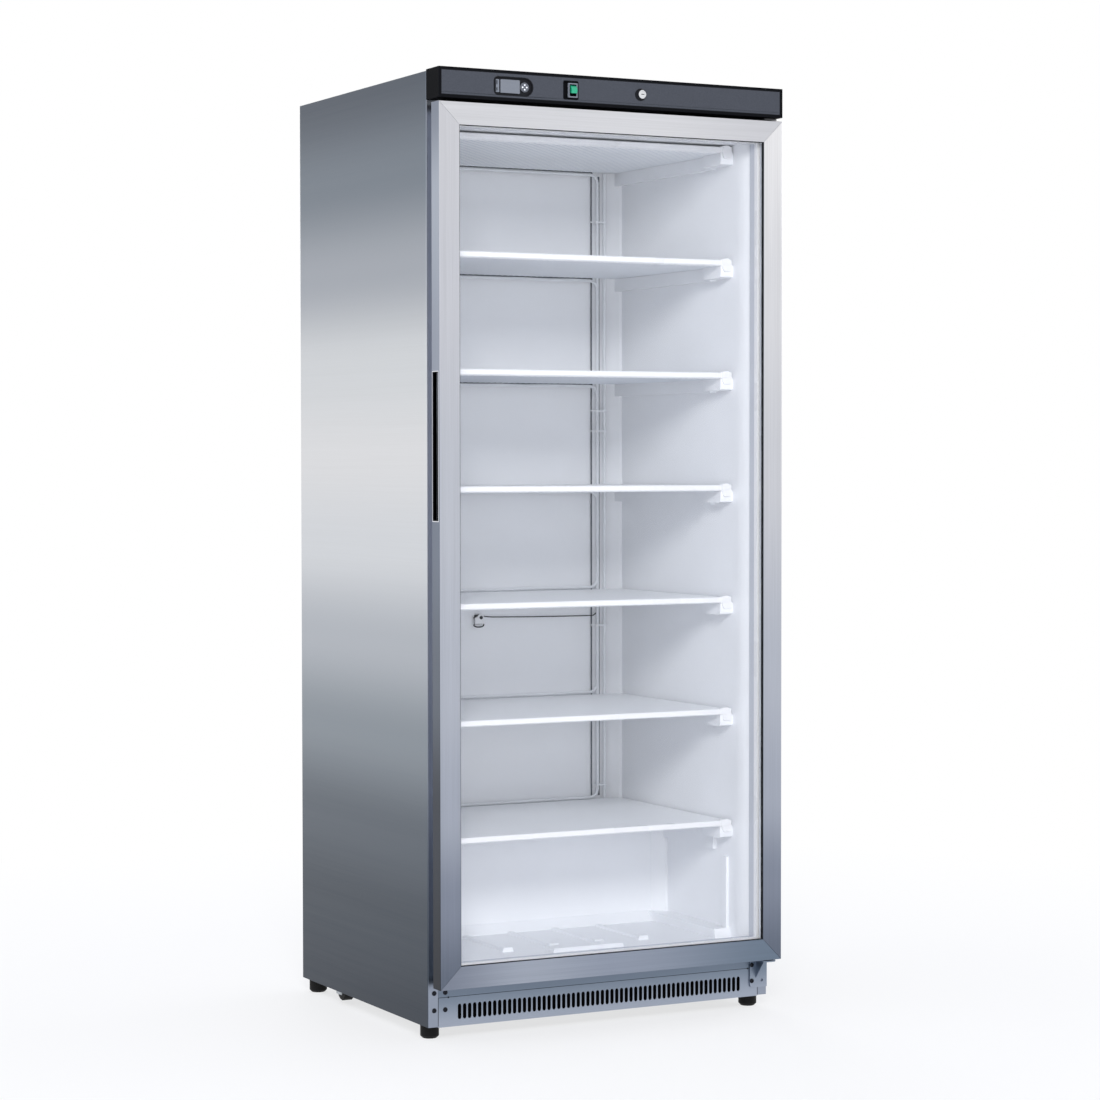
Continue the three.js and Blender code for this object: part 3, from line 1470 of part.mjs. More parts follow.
door.add(mesh('glass_outer', pane(outerPaneFront, outerPaneBack), clearGlass));
door.add(mesh('glass_inner', pane(innerPaneFront, innerPaneBack), clearGlass));
door.add(mesh('glass_spacer', frameRing(rectangleProfile(
  spacerInset, spacerInset + spacerWidth, outerPaneBack + seatGap, innerPaneFront - seatGap,
), paneFrame), satinAluminium));

// The white inner frame holds the glass from behind and carries the gasket.
const innerFrameInset = 10;
const innerFrameOver = 1;

function doorInnerFrame() {
  const legFront = innerPaneBack + seatGap;
  const leg = glassRebate + seatGap;
  const inner = stileWidth + innerFrameOver;
  return frameRing(corners(
    [innerFrameInset, metalBack + seatGap], [leg, metalBack + seatGap], [leg, legFront],
    [inner, legFront], [inner, doorBack], [innerFrameInset, doorBack],
  ), doorFrame);
}

door.add(mesh('door_inner_frame', doorInnerFrame(), whitePlastic));

const gasketBase = 12;
const gasketBaseWidth = 20;
const gasketBaseHeight = 5;
const gasketSeal = 18;
const gasketSealWidth = 12;
const gasketSealHeight = 6;
const gasketFold = 3;

// The gasket: a base on the inner frame, a folded bellows and the strip that meets the cabinet.
function doorGasket() {
  const base = doorBack + seatGap;
  const face = -seatGap;
  const right = gasketBase + gasketBaseWidth;
  const sealRight = gasketSeal + gasketSealWidth;
  const fold = base + 2 * gasketBaseHeight;
  return frameRing(corners(
    [gasketBase, base], [right, base], [right, base + gasketBaseHeight],
    [sealRight - gasketFold, fold - 1], [sealRight, face - gasketSealHeight], [sealRight, face],
    [gasketSeal, face], [gasketSeal, face - gasketSealHeight], [gasketSeal - gasketFold, fold],
    [gasketBase, base + gasketBaseHeight - 1],
  ), doorFrame);
}

door.add(mesh('door_gasket', doorGasket(), rubberGrey));

// The grip is a black cup let into the free edge of the door, with scooped ends.
function handleInsert() {
  const { low, high, front, back, depth, wall, lip, scoop } = handle;
  const face = -halfWidth + pocketSetBack;
  const outer = solid(block(face, face + depth, front, back, low, high));
  const bottom = low + wall;
  const top = high - wall;
  const lower = quarter(face + lip, bottom, face + depth - wall, bottom + scoop, 4);
  const upper = lower.map((point) => new THREE.Vector2(point.x, bottom + top - point.y)).reverse();
  const hollow = [
    ...corners([face - runPast, bottom]), ...lower, ...upper, ...corners([face - runPast, top]),
  ];
  return without(outer, alongY(hollow, front + wall, back - wall));
}

door.add(mesh('handle_insert', handleInsert(), blackPlastic));

// ---------- The whole freezer, centred over its footprint ----------

const freezer = new THREE.Group();
freezer.add(cabinet, door);
freezer.position.y = -(lockFront + cabinetDepth) / 2;

export default freezer;
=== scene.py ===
import math
import random

import bmesh
import bpy
from mathutils import Matrix, Vector


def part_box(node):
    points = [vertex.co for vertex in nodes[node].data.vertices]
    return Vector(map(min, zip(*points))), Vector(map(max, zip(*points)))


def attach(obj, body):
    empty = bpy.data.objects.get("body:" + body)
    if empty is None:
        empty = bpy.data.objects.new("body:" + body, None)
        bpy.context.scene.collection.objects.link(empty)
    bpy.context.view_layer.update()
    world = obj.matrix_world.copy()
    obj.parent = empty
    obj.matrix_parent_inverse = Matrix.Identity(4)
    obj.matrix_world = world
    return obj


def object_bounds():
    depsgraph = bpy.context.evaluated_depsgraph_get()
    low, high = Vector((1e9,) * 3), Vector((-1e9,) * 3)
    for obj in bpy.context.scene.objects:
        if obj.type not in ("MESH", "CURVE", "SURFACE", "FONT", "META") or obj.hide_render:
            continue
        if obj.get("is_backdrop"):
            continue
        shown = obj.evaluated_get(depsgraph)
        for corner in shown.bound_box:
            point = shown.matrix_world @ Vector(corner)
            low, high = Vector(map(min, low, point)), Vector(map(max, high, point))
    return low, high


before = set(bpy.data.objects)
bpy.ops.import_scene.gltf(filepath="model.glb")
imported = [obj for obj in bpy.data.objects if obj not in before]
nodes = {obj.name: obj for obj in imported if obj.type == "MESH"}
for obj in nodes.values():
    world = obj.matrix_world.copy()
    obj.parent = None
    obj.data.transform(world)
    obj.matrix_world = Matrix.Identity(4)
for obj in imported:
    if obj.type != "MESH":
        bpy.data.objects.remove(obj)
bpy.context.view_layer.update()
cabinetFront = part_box("side_panel_left")[0].y  # front plane of the cabinet
millimetre = 0.001
front = (0, -1, 0)


def spot(x, y, z):  # millimetres, y counted from the front plane of the cabinet
    return Vector((x * millimetre, cabinetFront + y * millimetre, z * millimetre))


def newMaterial(name):
    material = bpy.data.materials.new(name)
    material.use_nodes = True
    tree = material.node_tree
    return material, tree, tree.nodes["Principled BSDF"]


def addNode(tree, kind, **settings):
    node = tree.nodes.new(kind)
    for key, value in settings.items():
        setattr(node, key, value)
    return node


def restPlace(tree):  # every piece has its origin at the frame's origin, so this is its place at rest
    return addNode(tree, "ShaderNodeTexCoord").outputs["Object"]


def stretched(tree, scale):
    mapping = addNode(tree, "ShaderNodeMapping")
    mapping.inputs["Scale"].default_value = scale
    tree.links.new(restPlace(tree), mapping.inputs["Vector"])
    return mapping.outputs["Vector"]


def noise(tree, vector, scale, detail=3.0, rough=0.5):
    node = addNode(tree, "ShaderNodeTexNoise")
    node.inputs["Scale"].default_value = scale
    node.inputs["Detail"].default_value = detail
    node.inputs["Roughness"].default_value = rough
    tree.links.new(vector, node.inputs["Vector"])
    return node.outputs["Fac"]


def remap(tree, value, fromLow, fromHigh, toLow, toHigh):
    node = addNode(tree, "ShaderNodeMapRange")
    for key, amount in (("From Min", fromLow), ("From Max", fromHigh), ("To Min", toLow), ("To Max", toHigh)):
        node.inputs[key].default_value = amount
    tree.links.new(value, node.inputs["Value"])
    return node.outputs["Result"]


def varied(tree, value, low, high):  # noise lies mostly between 0.3 and 0.7
    return remap(tree, value, 0.3, 0.7, low, high)


def maths(tree, operation, first, second=None):
    node = addNode(tree, "ShaderNodeMath", operation=operation)
    for socket, value in zip(node.inputs, (first, second)):
        if value is None:
            continue
        if isinstance(value, (int, float)):
            socket.default_value = value
        else:
            tree.links.new(value, socket)
    return node.outputs["Value"]


def srgb(red, green, blue):  # picture values to the linear ones that shaders take
    shares = (value / 255 for value in (red, green, blue))
    return tuple(c / 12.92 if c <= 0.04045 else ((c + 0.055) / 1.055) ** 2.4 for c in shares)


def paintedLightRamp(tree, stops, span, axis="Z"):  # painted reflection and shade: colours by place along one axis
    split = addNode(tree, "ShaderNodeSeparateXYZ")
    tree.links.new(restPlace(tree), split.inputs["Vector"])
    ramp = addNode(tree, "ShaderNodeValToRGB")
    elements = ramp.color_ramp.elements
    ramp.color_ramp.interpolation = "EASE"
    while len(elements) > 1:
        elements.remove(elements[-1])
    elements[0].position = stops[0][0]
    elements[0].color = (*srgb(*stops[0][1]), 1)
    for place, colour in stops[1:]:
        elements.new(place).color = (*srgb(*colour), 1)
    tree.links.new(remap(tree, split.outputs[axis], *span, 0, 1), ramp.inputs["Fac"])
    return ramp.outputs["Color"]


def fixedColour(tree, colour):
    node = addNode(tree, "ShaderNodeRGB")
    node.outputs[0].default_value = (*srgb(*colour), 1)
    return node.outputs[0]


def tinted(tree, colour, value):  # multiplies a colour by a grey value
    node = addNode(tree, "ShaderNodeVectorMath", operation="SCALE")
    tree.links.new(colour, node.inputs["Vector"])
    tree.links.new(value, node.inputs["Scale"])
    return node.outputs["Vector"]


def bumped(tree, shader, height, strength, distance):
    node = addNode(tree, "ShaderNodeBump")
    node.inputs["Strength"].default_value = strength
    node.inputs["Distance"].default_value = distance
    tree.links.new(height, node.inputs["Height"])
    tree.links.new(node.outputs["Normal"], shader.inputs["Normal"])


def edgeHighlightMask(tree, reach):  # 1 on rounded edges, 0 on flats: where a highlight is painted on
    bevel = addNode(tree, "ShaderNodeBevel", samples=4)
    bevel.inputs["Radius"].default_value = reach
    geometry = addNode(tree, "ShaderNodeNewGeometry")
    dot = addNode(tree, "ShaderNodeVectorMath", operation="DOT_PRODUCT")
    tree.links.new(bevel.outputs["Normal"], dot.inputs[0])
    tree.links.new(geometry.outputs["Normal"], dot.inputs[1])
    return remap(tree, dot.outputs["Value"], 0.99, 0.8, 0, 1)


def facing(tree, axis):  # 1 where a face looks along the axis, either way
    normal = addNode(tree, "ShaderNodeSeparateXYZ")
    tree.links.new(addNode(tree, "ShaderNodeNewGeometry").outputs["True Normal"], normal.inputs["Vector"])
    return remap(tree, maths(tree, "ABSOLUTE", normal.outputs[axis]), 0.6, 0.8, 0, 1)


def brushedMetal(name, stops, grain, roughness, span=(0.0, 1.9), streak=0.05, axis="Z", edge=None,
                 edgeAxis="X"):
    material, tree, shader = newMaterial(name)
    fine = noise(tree, stretched(tree, grain), 1, 4, 0.65)
    broad = noise(tree, stretched(tree, tuple(g * 0.16 for g in grain)), 1, 2, 0.5)
    both = maths(tree, "ADD", maths(tree, "MULTIPLY", fine, 0.65), maths(tree, "MULTIPLY", broad, 0.35))
    # the base colour is a painted reflection and shade, by place along the axis
    colour = paintedLightRamp(tree, stops, span, axis)
    if edge:  # faces that look along edgeAxis get a painted reflection and shade of their own
        blend = addNode(tree, "ShaderNodeMix", data_type="RGBA")
        tree.links.new(facing(tree, edgeAxis), blend.inputs["Factor"])
        tree.links.new(colour, blend.inputs["A"])
        tree.links.new(paintedLightRamp(tree, edge, span, axis), blend.inputs["B"])
        colour = blend.outputs["Result"]
    shade = varied(tree, both, 1 - streak, 1 + streak)
    tree.links.new(tinted(tree, colour, shade), shader.inputs["Base Color"])
    rough = remap(tree, both, 0.25, 0.75, roughness - 0.06, roughness + 0.08)
    tree.links.new(rough, shader.inputs["Roughness"])
    bumped(tree, shader, fine, 0.12, 0.00006)
    shader.inputs["Metallic"].default_value = 1.0
    return material


def moulded(name, colour, roughness, speckle, grainScale, bump, coat=0.0, specular=0.5, paintedEdgeHighlight=0.0):
    material, tree, shader = newMaterial(name)
    place = restPlace(tree)
    fine = noise(tree, place, grainScale, 3, 0.6)
    broad = noise(tree, place, 9, 3, 0.5)
    shade = maths(tree, "MULTIPLY", varied(tree, fine, 1 - speckle, 1 + speckle),
                  varied(tree, broad, 0.985, 1.015))
    # painted highlight: rounded edges are lightened as if they caught the light
    if paintedEdgeHighlight:
        shade = maths(tree, "MULTIPLY", shade, remap(tree, edgeHighlightMask(tree, 0.0012), 0, 1, 1, 1 + paintedEdgeHighlight))
    tree.links.new(tinted(tree, fixedColour(tree, colour), shade), shader.inputs["Base Color"])
    tree.links.new(varied(tree, broad, roughness - 0.04, roughness + 0.04), shader.inputs["Roughness"])
    bumped(tree, shader, fine, bump, 0.0002)
    shader.inputs["Coat Weight"].default_value = coat
    shader.inputs["Specular IOR Level"].default_value = specular
    return material


def zincPlate(name, colour, roughness=0.42):  # spangled galvanised sheet
    material, tree, shader = newMaterial(name)
    place = restPlace(tree)
    cells = addNode(tree, "ShaderNodeTexVoronoi", feature="F1")
    cells.inputs["Scale"].default_value = 70
    tree.links.new(place, cells.inputs["Vector"])
    grey = addNode(tree, "ShaderNodeSeparateColor")
    tree.links.new(cells.outputs["Color"], grey.inputs["Color"])
    cloud = noise(tree, place, 14, 4, 0.6)
    spangle = remap(tree, grey.outputs["Red"], 0, 1, 0.9, 1.06)
    shade = maths(tree, "MULTIPLY", spangle, varied(tree, cloud, 0.93, 1.05))
    tree.links.new(tinted(tree, fixedColour(tree, colour), shade), shader.inputs["Base Color"])
    rough = remap(tree, grey.outputs["Green"], 0, 1, roughness - 0.08, roughness + 0.1)
    tree.links.new(rough, shader.inputs["Roughness"])
    bumped(tree, shader, cloud, 0.1, 0.0004)
    shader.inputs["Metallic"].default_value = 0.9
    return material


def polished(name, colour, roughness=0.12):
    material, tree, shader = newMaterial(name)
    smear = noise(tree, restPlace(tree), 120, 4, 0.6)
    shade = varied(tree, smear, 0.94, 1.03)
    tree.links.new(tinted(tree, fixedColour(tree, colour), shade), shader.inputs["Base Color"])
    tree.links.new(varied(tree, smear, roughness * 0.7, roughness * 1.5), shader.inputs["Roughness"])
    bumped(tree, shader, smear, 0.05, 0.0001)
    shader.inputs["Metallic"].default_value = 1.0
    return material


def clearPane(name):  # nearly unseen head on; at a low angle a faint white film, a painted reflection
    material, tree, shader = newMaterial(name)
    rim = addNode(tree, "ShaderNodeLayerWeight")
    rim.inputs["Blend"].default_value = 0.25
    film = noise(tree, restPlace(tree), 3, 3, 0.5)
    # painted reflection: the white pane shows more at a low angle, where glass would reflect
    paintedRimReflection = remap(tree, rim.outputs["Fresnel"], 0, 1, 0.002, 0.14)
    tree.links.new(maths(tree, "ADD", paintedRimReflection, varied(tree, film, 0.0, 0.004)), shader.inputs["Alpha"])
    tree.links.new(varied(tree, film, 0.02, 0.06), shader.inputs["Roughness"])
    shader.inputs["Base Color"].default_value = (0.93, 0.96, 0.97, 1)
    return material


# every metal: its colours by place along the span (metres), a painted reflection and shade, the run of its
# grain and its roughness
# front fold of the side panel, with a painted reflection of its own by height
frontFold = [(0.0, (150, 158, 173)), (0.04, (150, 158, 173)), (0.05, (84, 92, 102)), (0.15, (106, 113, 125)),
             (0.27, (142, 148, 160)), (0.42, (160, 164, 174)), (0.6, (172, 175, 184)), (1.0, (152, 157, 167))]
sideSteel = {  # painted reflection: the sheet goes from dark to light and back over its height
    "stops": [(0.0, (50, 58, 69)), (0.1, (66, 74, 84)), (0.2, (92, 100, 110)), (0.3, (136, 144, 153)),
              (0.4, (176, 181, 189)), (0.5, (210, 213, 218)), (0.6, (219, 220, 223)), (0.7, (209, 212, 216)),
              (0.8, (163, 168, 177)), (0.9, (118, 127, 138)), (1.0, (80, 88, 100))],
    "grain": (700, 3, 700), "roughness": 0.34, "span": (0.027, 1.892), "streak": 0.035,
    "edge": frontFold, "edgeAxis": "Y",
}
topSteel = {"stops": [(0, (190, 194, 198)), (1, (205, 208, 212))], "grain": (3, 700, 700), "roughness": 0.36}
# painted reflection and shade on the door frame: the fronts dark at the bottom and light at the top, the sides
# (doorEdge) darker, the right stile a lighter copy of the left
doorEdge = [(0.0, (34, 38, 46)), (0.2, (58, 63, 73)), (0.35, (102, 109, 121)), (0.5, (118, 126, 141)),
            (0.7, (150, 157, 172)), (0.9, (170, 177, 190)), (1.0, (130, 137, 152))]
stileLow = [(0.0, (104, 112, 127)), (0.1, (134, 141, 157)), (0.2, (166, 172, 186)), (0.35, (181, 186, 198))]
stileHigh = [(0.55, (192, 196, 206)), (0.8, (204, 206, 214)), (1.0, (210, 211, 217))]
stileRightHigh = [(0.6, (206, 208, 215)), (0.8, (220, 221, 226)), (1.0, (236, 236, 239))]
stile = {"grain": (900, 900, 5), "roughness": 0.36, "span": (0.109, 1.829), "streak": 0.09, "edge": doorEdge}
# painted reflection and shade: the top rail is a light copy and the bottom rail a dark copy of the same brushed
# metal
rail = {"grain": (5, 900, 900), "roughness": 0.36, "span": (-0.39, 0.39), "streak": 0.09, "axis": "X"}
railTop = [(0, (216, 217, 222)), (0.6, (219, 220, 225)), (1, (209, 210, 216))]
railLow = [(0, (130, 137, 152)), (0.25, (162, 169, 183)), (0.5, (148, 156, 172)), (1, (112, 126, 143))]
# painted reflection and shade: the kick plate and lower hinge bracket darker towards the top, the front frame
# lighter towards the top
kick = {"stops": [(0, (165, 173, 188)), (1, (126, 138, 154))], "grain": (5, 900, 900), "roughness": 0.4,
        "span": (0.025, 0.09), "streak": 0.03}
mouth = {"stops": [(0, (118, 130, 146)), (1, (196, 200, 206))], "grain": (5, 900, 900), "roughness": 0.4,
         "span": (0.08, 0.6), "streak": 0.03}
steelSide = brushedMetal("brushedSteelSide", **sideSteel)
steelTop = brushedMetal("brushedSteelTop", **topSteel)
stileMetal = brushedMetal("brushedStile", stileLow + stileHigh, **stile)
stileRightMetal = brushedMetal("brushedStileRight", stileLow + stileRightHigh, **stile)
railTopMetal = brushedMetal("brushedRailTop", railTop, **rail)
railLowMetal = brushedMetal("brushedRailLow", railLow, **rail)
kickMetal = brushedMetal("brushedKick", **kick)
frontMetal = brushedMetal("brushedFront", **mouth)
zincSheet = zincPlate("zincSheet", (176, 181, 186))
chromeBright = polished("chromeBright", (226, 228, 232))
bareAluminium = polished("bareAluminium", (196, 200, 204), 0.3)
spacerBright = polished("spacerBright", (236, 238, 242), 0.35)
screwBlack = polished("screwBlack", (46, 48, 54), 0.3)

# paints, plastics and rubber: colour, roughness, speckle, scale of the grain, bump
linerWhite = moulded("linerWhite", (244, 246, 250), 0.42, 0.008, 700, 0.006)
enamelWhite = moulded("enamelWhite", (232, 235, 240), 0.35, 0.01, 500, 0.02)
shelfPaint = moulded("shelfPaint", (248, 250, 253), 0.45, 0.012, 400, 0.05)
# painted shade: the beads are darker than the shelf so that they show as lines
beadPaintedShade = moulded("beadPaintedShade", (222, 227, 235), 0.5, 0.012, 400, 0.03)
trimWhite = moulded("trimWhite", (240, 241, 244), 0.3, 0.008, 700, 0.02)
# headerBlack and enamelBlack have a painted highlight on their rounded edges
headerBlack = moulded("headerBlack", (13, 14, 17), 0.7, 0.15, 1400, 0.12, specular=0.06, paintedEdgeHighlight=3.0)
fasciaGrey = moulded("fasciaGrey", (66, 69, 76), 0.55, 0.13, 600, 0.12, specular=0.2)
rubberBlack = moulded("rubberBlack", (9, 9, 10), 0.6, 0.1, 900, 0.15, specular=0.2)
gasketGrey = moulded("gasketGrey", (206, 210, 219), 0.55, 0.03, 600, 0.05)
sealBlack = moulded("sealBlack", (24, 25, 29), 0.6, 0.05, 900, 0.05, specular=0.15)
# thermostat body: dark, partly its own black and partly painted shade of the recess it sits in
bezelBlackAndShade = moulded("bezelBlackAndShade", (26, 27, 31), 0.5, 0.06, 1200, 0.06, specular=0.15)
displayGrey = moulded("displayGrey", (108, 113, 122), 0.25, 0.02, 900, 0.02, coat=0.5)
keyGrey = moulded("keyGrey", (236, 238, 242), 0.4, 0.03, 1500, 0.03)
lensGreen = moulded("lensGreen", (16, 155, 115), 0.25, 0.04, 900, 0.03, coat=0.4)
foamYellow = moulded("foamYellow", (214, 200, 150), 0.8, 0.12, 260, 0.4)
enamelBlack = moulded("enamelBlack", (30, 30, 33), 0.32, 0.05, 500, 0.08, coat=0.3, paintedEdgeHighlight=1.5)
# painted shadow for the strips of the shadow joints
paintedShadowGrey = moulded("paintedShadowGrey", (84, 89, 98), 0.7, 0.06, 700, 0.05, specular=0.1)
stripGrey = moulded("stripGrey", (112, 117, 126), 0.35, 0.04, 1200, 0.04)
discGrey = moulded("discGrey", (84, 88, 96), 0.3, 0.04, 1200, 0.04, coat=0.3)
filterBlack = moulded("filterBlack", (4, 4, 5), 0.95, 0.2, 1500, 0.3, specular=0.03)
glassClear = clearPane("glassClear")
print("materials made")

finishes = {
    "side_panel_left": steelSide, "side_panel_right": steelSide, "top_panel": steelTop,
    "insulation": foamYellow, "inner_liner": linerWhite, "front_frame": frontMetal,
    "rear_panel": zincSheet, "base_frame": zincSheet,
    "kick_grille": kickMetal, "hinge_bracket_lower": kickMetal, "hinge_bracket_upper": enamelBlack,
    "header_housing": headerBlack, "header_fascia": fasciaGrey, "thermostat_body": bezelBlackAndShade,
    "thermostat_window": displayGrey, "switch_bezel": headerBlack, "switch_rocker": lensGreen,
    "lock_barrel": chromeBright, "lock_plug": chromeBright, "refrigerant_risers": enamelWhite,
    "probe_lead": rubberBlack, "compressor": enamelBlack, "condenser": bareAluminium, "fan_shroud": zincSheet,
    "fan_blade": enamelBlack, "foot_front_left": rubberBlack, "foot_front_right": rubberBlack,
    "foot_rear_left": rubberBlack, "foot_rear_right": rubberBlack, "roller_left": rubberBlack,
    "roller_right": rubberBlack, "door_stile_left": stileMetal, "door_stile_right": stileRightMetal,
    "door_rail_top": railTopMetal, "door_rail_bottom": railLowMetal, "door_bush": headerBlack,
    "glass_outer": glassClear, "glass_inner": glassClear, "glass_spacer": spacerBright,
    "door_inner_frame": trimWhite, "door_gasket": gasketGrey, "handle_insert": headerBlack,
}
shelfNumbers = range(1, 8)
for number in shelfNumbers:
    finishes[f"evaporator_shelf_{number}"] = shelfPaint
    finishes[f"shelf_trim_{number}"] = trimWhite
for number in range(1, 5):
    finishes[f"thermostat_button_{number}"] = keyGrey


def softEdges(sharpAngle):  # joins the facets and keeps only real edges sharp
    group = bpy.data.node_groups.new("softEdges", "GeometryNodeTree")
    group.interface.new_socket("Geometry", in_out="INPUT", socket_type="NodeSocketGeometry")
    group.interface.new_socket("Geometry", in_out="OUTPUT", socket_type="NodeSocketGeometry")
    start = group.nodes.new("NodeGroupInput")
    end = group.nodes.new("NodeGroupOutput")
    smooth = group.nodes.new("GeometryNodeSetShadeSmooth")
    normal = group.nodes.new("GeometryNodeSetMeshNormal")
    normal.inputs["Remove Custom"].default_value = True
    angle = group.nodes.new("GeometryNodeInputMeshEdgeAngle")
    sharp = group.nodes.new("FunctionNodeCompare")
    sharp.inputs["B"].default_value = math.radians(sharpAngle)
    group.links.new(angle.outputs["Unsigned Angle"], sharp.inputs["A"])
    group.links.new(sharp.outputs["Result"], normal.inputs["Edge Sharpness"])
    group.links.new(start.outputs[0], normal.inputs["Mesh"])
    group.links.new(normal.outputs["Mesh"], smooth.inputs["Geometry"])
    group.links.new(smooth.outputs["Geometry"], end.inputs[0])
    return group


edges = {"sharp": 33, "rounded": 40, "flat": 0.6, "weld": 0.00001, "flatWeight": 90}  # angles in degrees
edgeRounding = {  # bevel width in millimetres where a node's edges catch the light
    "door_stile_left": 0.6, "door_stile_right": 0.6, "door_rail_top": 0.5, "door_rail_bottom": 0.5,
    "header_housing": 0.8, "header_fascia": 0.2, "inner_liner": 1.6, "kick_grille": 0.15,
    "hinge_bracket_lower": 0.3, "switch_bezel": 0.4, "thermostat_body": 0.4, "switch_rocker": 0.4,
    "side_panel_left": 0.25, "side_panel_right": 0.25, "fan_shroud": 0.3, "compressor": 0.6,
    "handle_insert": 0.4,
}
softGroup = softEdges(edges["sharp"])


def dressed(piece, rounding):  # soft facets, small radii that catch light, and flats that stay flat
    soft = piece.modifiers.new("softEdges", "NODES")
    soft.node_group = softGroup
    if rounding:
        edge = piece.modifiers.new("roundEdges", "BEVEL")
        edge.width = rounding * millimetre
        edge.segments = 2
        edge.limit_method = "ANGLE"
        edge.angle_limit = math.radians(edges["rounded"])
    weights = piece.modifiers.new("flatNormals", "WEIGHTED_NORMAL")
    weights.mode = "FACE_AREA"
    weights.weight = edges["flatWeight"]
    weights.keep_sharp = True


for name, node in nodes.items():
    node.material_slots[0].material = finishes[name]
    weld = node.modifiers.new("joinFacets", "WELD")
    weld.merge_threshold = edges["weld"]
    if name in edgeRounding:
        flat = node.modifiers.new("mergeFlats", "DECIMATE")
        flat.decimate_type = "DISSOLVE"
        flat.angle_limit = math.radians(edges["flat"])
    dressed(node, edgeRounding.get(name))
print("nodes finished:", len(nodes))


def bridge(mesh, first, second):  # band of faces between two rings of the same length
    count = len(first)
    for k in range(count):
        mesh.faces.new((first[k], first[(k + 1) % count], second[(k + 1) % count], second[k]))


def closeEnds(mesh, rings):
    mesh.faces.new(list(reversed(rings[0])))
    mesh.faces.new(rings[-1])


def addBlock(mesh, low, high):  # two opposite corners in metres
    first, second = ([mesh.verts.new((x, y, z)) for x, y in ((low[0], low[1]), (high[0], low[1]),
                                                             (high[0], high[1]), (low[0], high[1]))]
                     for z in (low[2], high[2]))
    bridge(mesh, first, second)
    closeEnds(mesh, (first, second))


def addBox(mesh, x, y, z):  # (low, high) pairs in millimetres
    addBlock(mesh, spot(x[0], y[0], z[0]), spot(x[1], y[1], z[1]))


def addTube(mesh, points, radius, sides):
    points = [Vector(p) for p in points]
    rings = []
    normal = None
    for i, point in enumerate(points):
        before, after = points[max(i - 1, 0)], points[min(i + 1, len(points) - 1)]
        along = (after - before).normalized()
        if normal is None:
            normal = along.orthogonal().normalized()
        normal = (normal - along * normal.dot(along)).normalized()
        across = along.cross(normal)
        rings.append([mesh.verts.new(point + radius * (math.cos(a) * normal + math.sin(a) * across))
                      for a in (2 * math.pi * k / sides for k in range(sides))])
    for first, second in zip(rings, rings[1:]):
        bridge(mesh, first, second)
    closeEnds(mesh, rings)


def addTurned(mesh, part, centre):  # part["profile"]: radius and height in millimetres, towards the front
    axis = Vector(front)
    side = axis.orthogonal().normalized()
    other = axis.cross(side)
    sides = part["sides"]
    rings = []
    for radius, height in part["profile"]:
        middle = centre + axis * height * millimetre
        if not radius:
            rings.append([mesh.verts.new(middle)])
            continue
        rings.append([mesh.verts.new(middle + radius * millimetre * (math.cos(a) * side + math.sin(a) * other))
                      for a in (2 * math.pi * k / sides for k in range(sides))])
    for first, second in zip(rings, rings[1:]):
        if len(second) > 1:
            bridge(mesh, first, second)
            continue
        for k in range(sides):  # faces that meet in the middle
            mesh.faces.new((first[k], first[(k + 1) % sides], second[0]))
    mesh.faces.new(list(reversed(rings[0])))
    if len(rings[-1]) > 1:
        mesh.faces.new(rings[-1])


def addSlab(mesh, outline, near, far):  # outline in x and z, from one depth to another
    rings = [[mesh.verts.new(spot(x, y, z)) for x, z in outline] for y in (near, far)]
    bridge(mesh, *rings)
    closeEnds(mesh, rings)


def rectangle(across, up, inset=0.0):  # corner points between two (low, high) pairs
    left, right, low, high = across[0] + inset, across[1] - inset, up[0] + inset, up[1] - inset
    return [(left, low), (right, low), (right, high), (left, high)]


def addFrame(mesh, across, up, section, place):  # section: (inset, depth) pairs round one bar
    rings = [[mesh.verts.new(place(a, depth, b)) for a, b in rectangle(across, up, inset)]
             for inset, depth in section]
    for first, second in zip(rings, rings[1:] + rings[:1]):
        bridge(mesh, first, second)


def arc(centre, reach, fromAngle, toAngle, step):  # points of a round stretch, angles in degrees
    angles = (math.radians(d) for d in range(fromAngle, toAngle, step))
    return [(centre[0] + reach[0] * math.cos(a), centre[1] + reach[1] * math.sin(a)) for a in angles]


def bend(start, corner, end, radius, steps):  # points of a rounded corner
    toStart, toEnd = (start - corner).normalized(), (end - corner).normalized()
    half = toStart.angle(toEnd) / 2
    centre = corner + (toStart + toEnd).normalized() * (radius / math.sin(half))
    first = corner + toStart * (radius / math.tan(half)) - centre
    axis = toEnd.cross(toStart)
    angles = ((math.pi - 2 * half) * k / steps for k in range(steps + 1))
    return [centre + Matrix.Rotation(angle, 3, axis) @ first for angle in angles]


def finished(mesh, name, material, body, rounding=0.0):
    bmesh.ops.recalc_face_normals(mesh, faces=mesh.faces)
    data = bpy.data.meshes.new(name)
    mesh.to_mesh(data)
    mesh.free()
    piece = bpy.data.objects.new(name, data)
    bpy.context.scene.collection.objects.link(piece)
    data.materials.append(material)
    dressed(piece, rounding)
    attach(piece, body)


screw = {"radius": 5.0, "dome": 1.8, "arm": 2.9, "armHalf": 0.8, "depth": 1.1,
         "head": [(1, 0.25), (0.9, 0.68), (0.72, 0.9)],  # shares of radius and dome
         "sunk": 0.2, "mouth": 0.96, "taper": 0.55, "firstTurn": 0.35, "turnStep": 0.9}


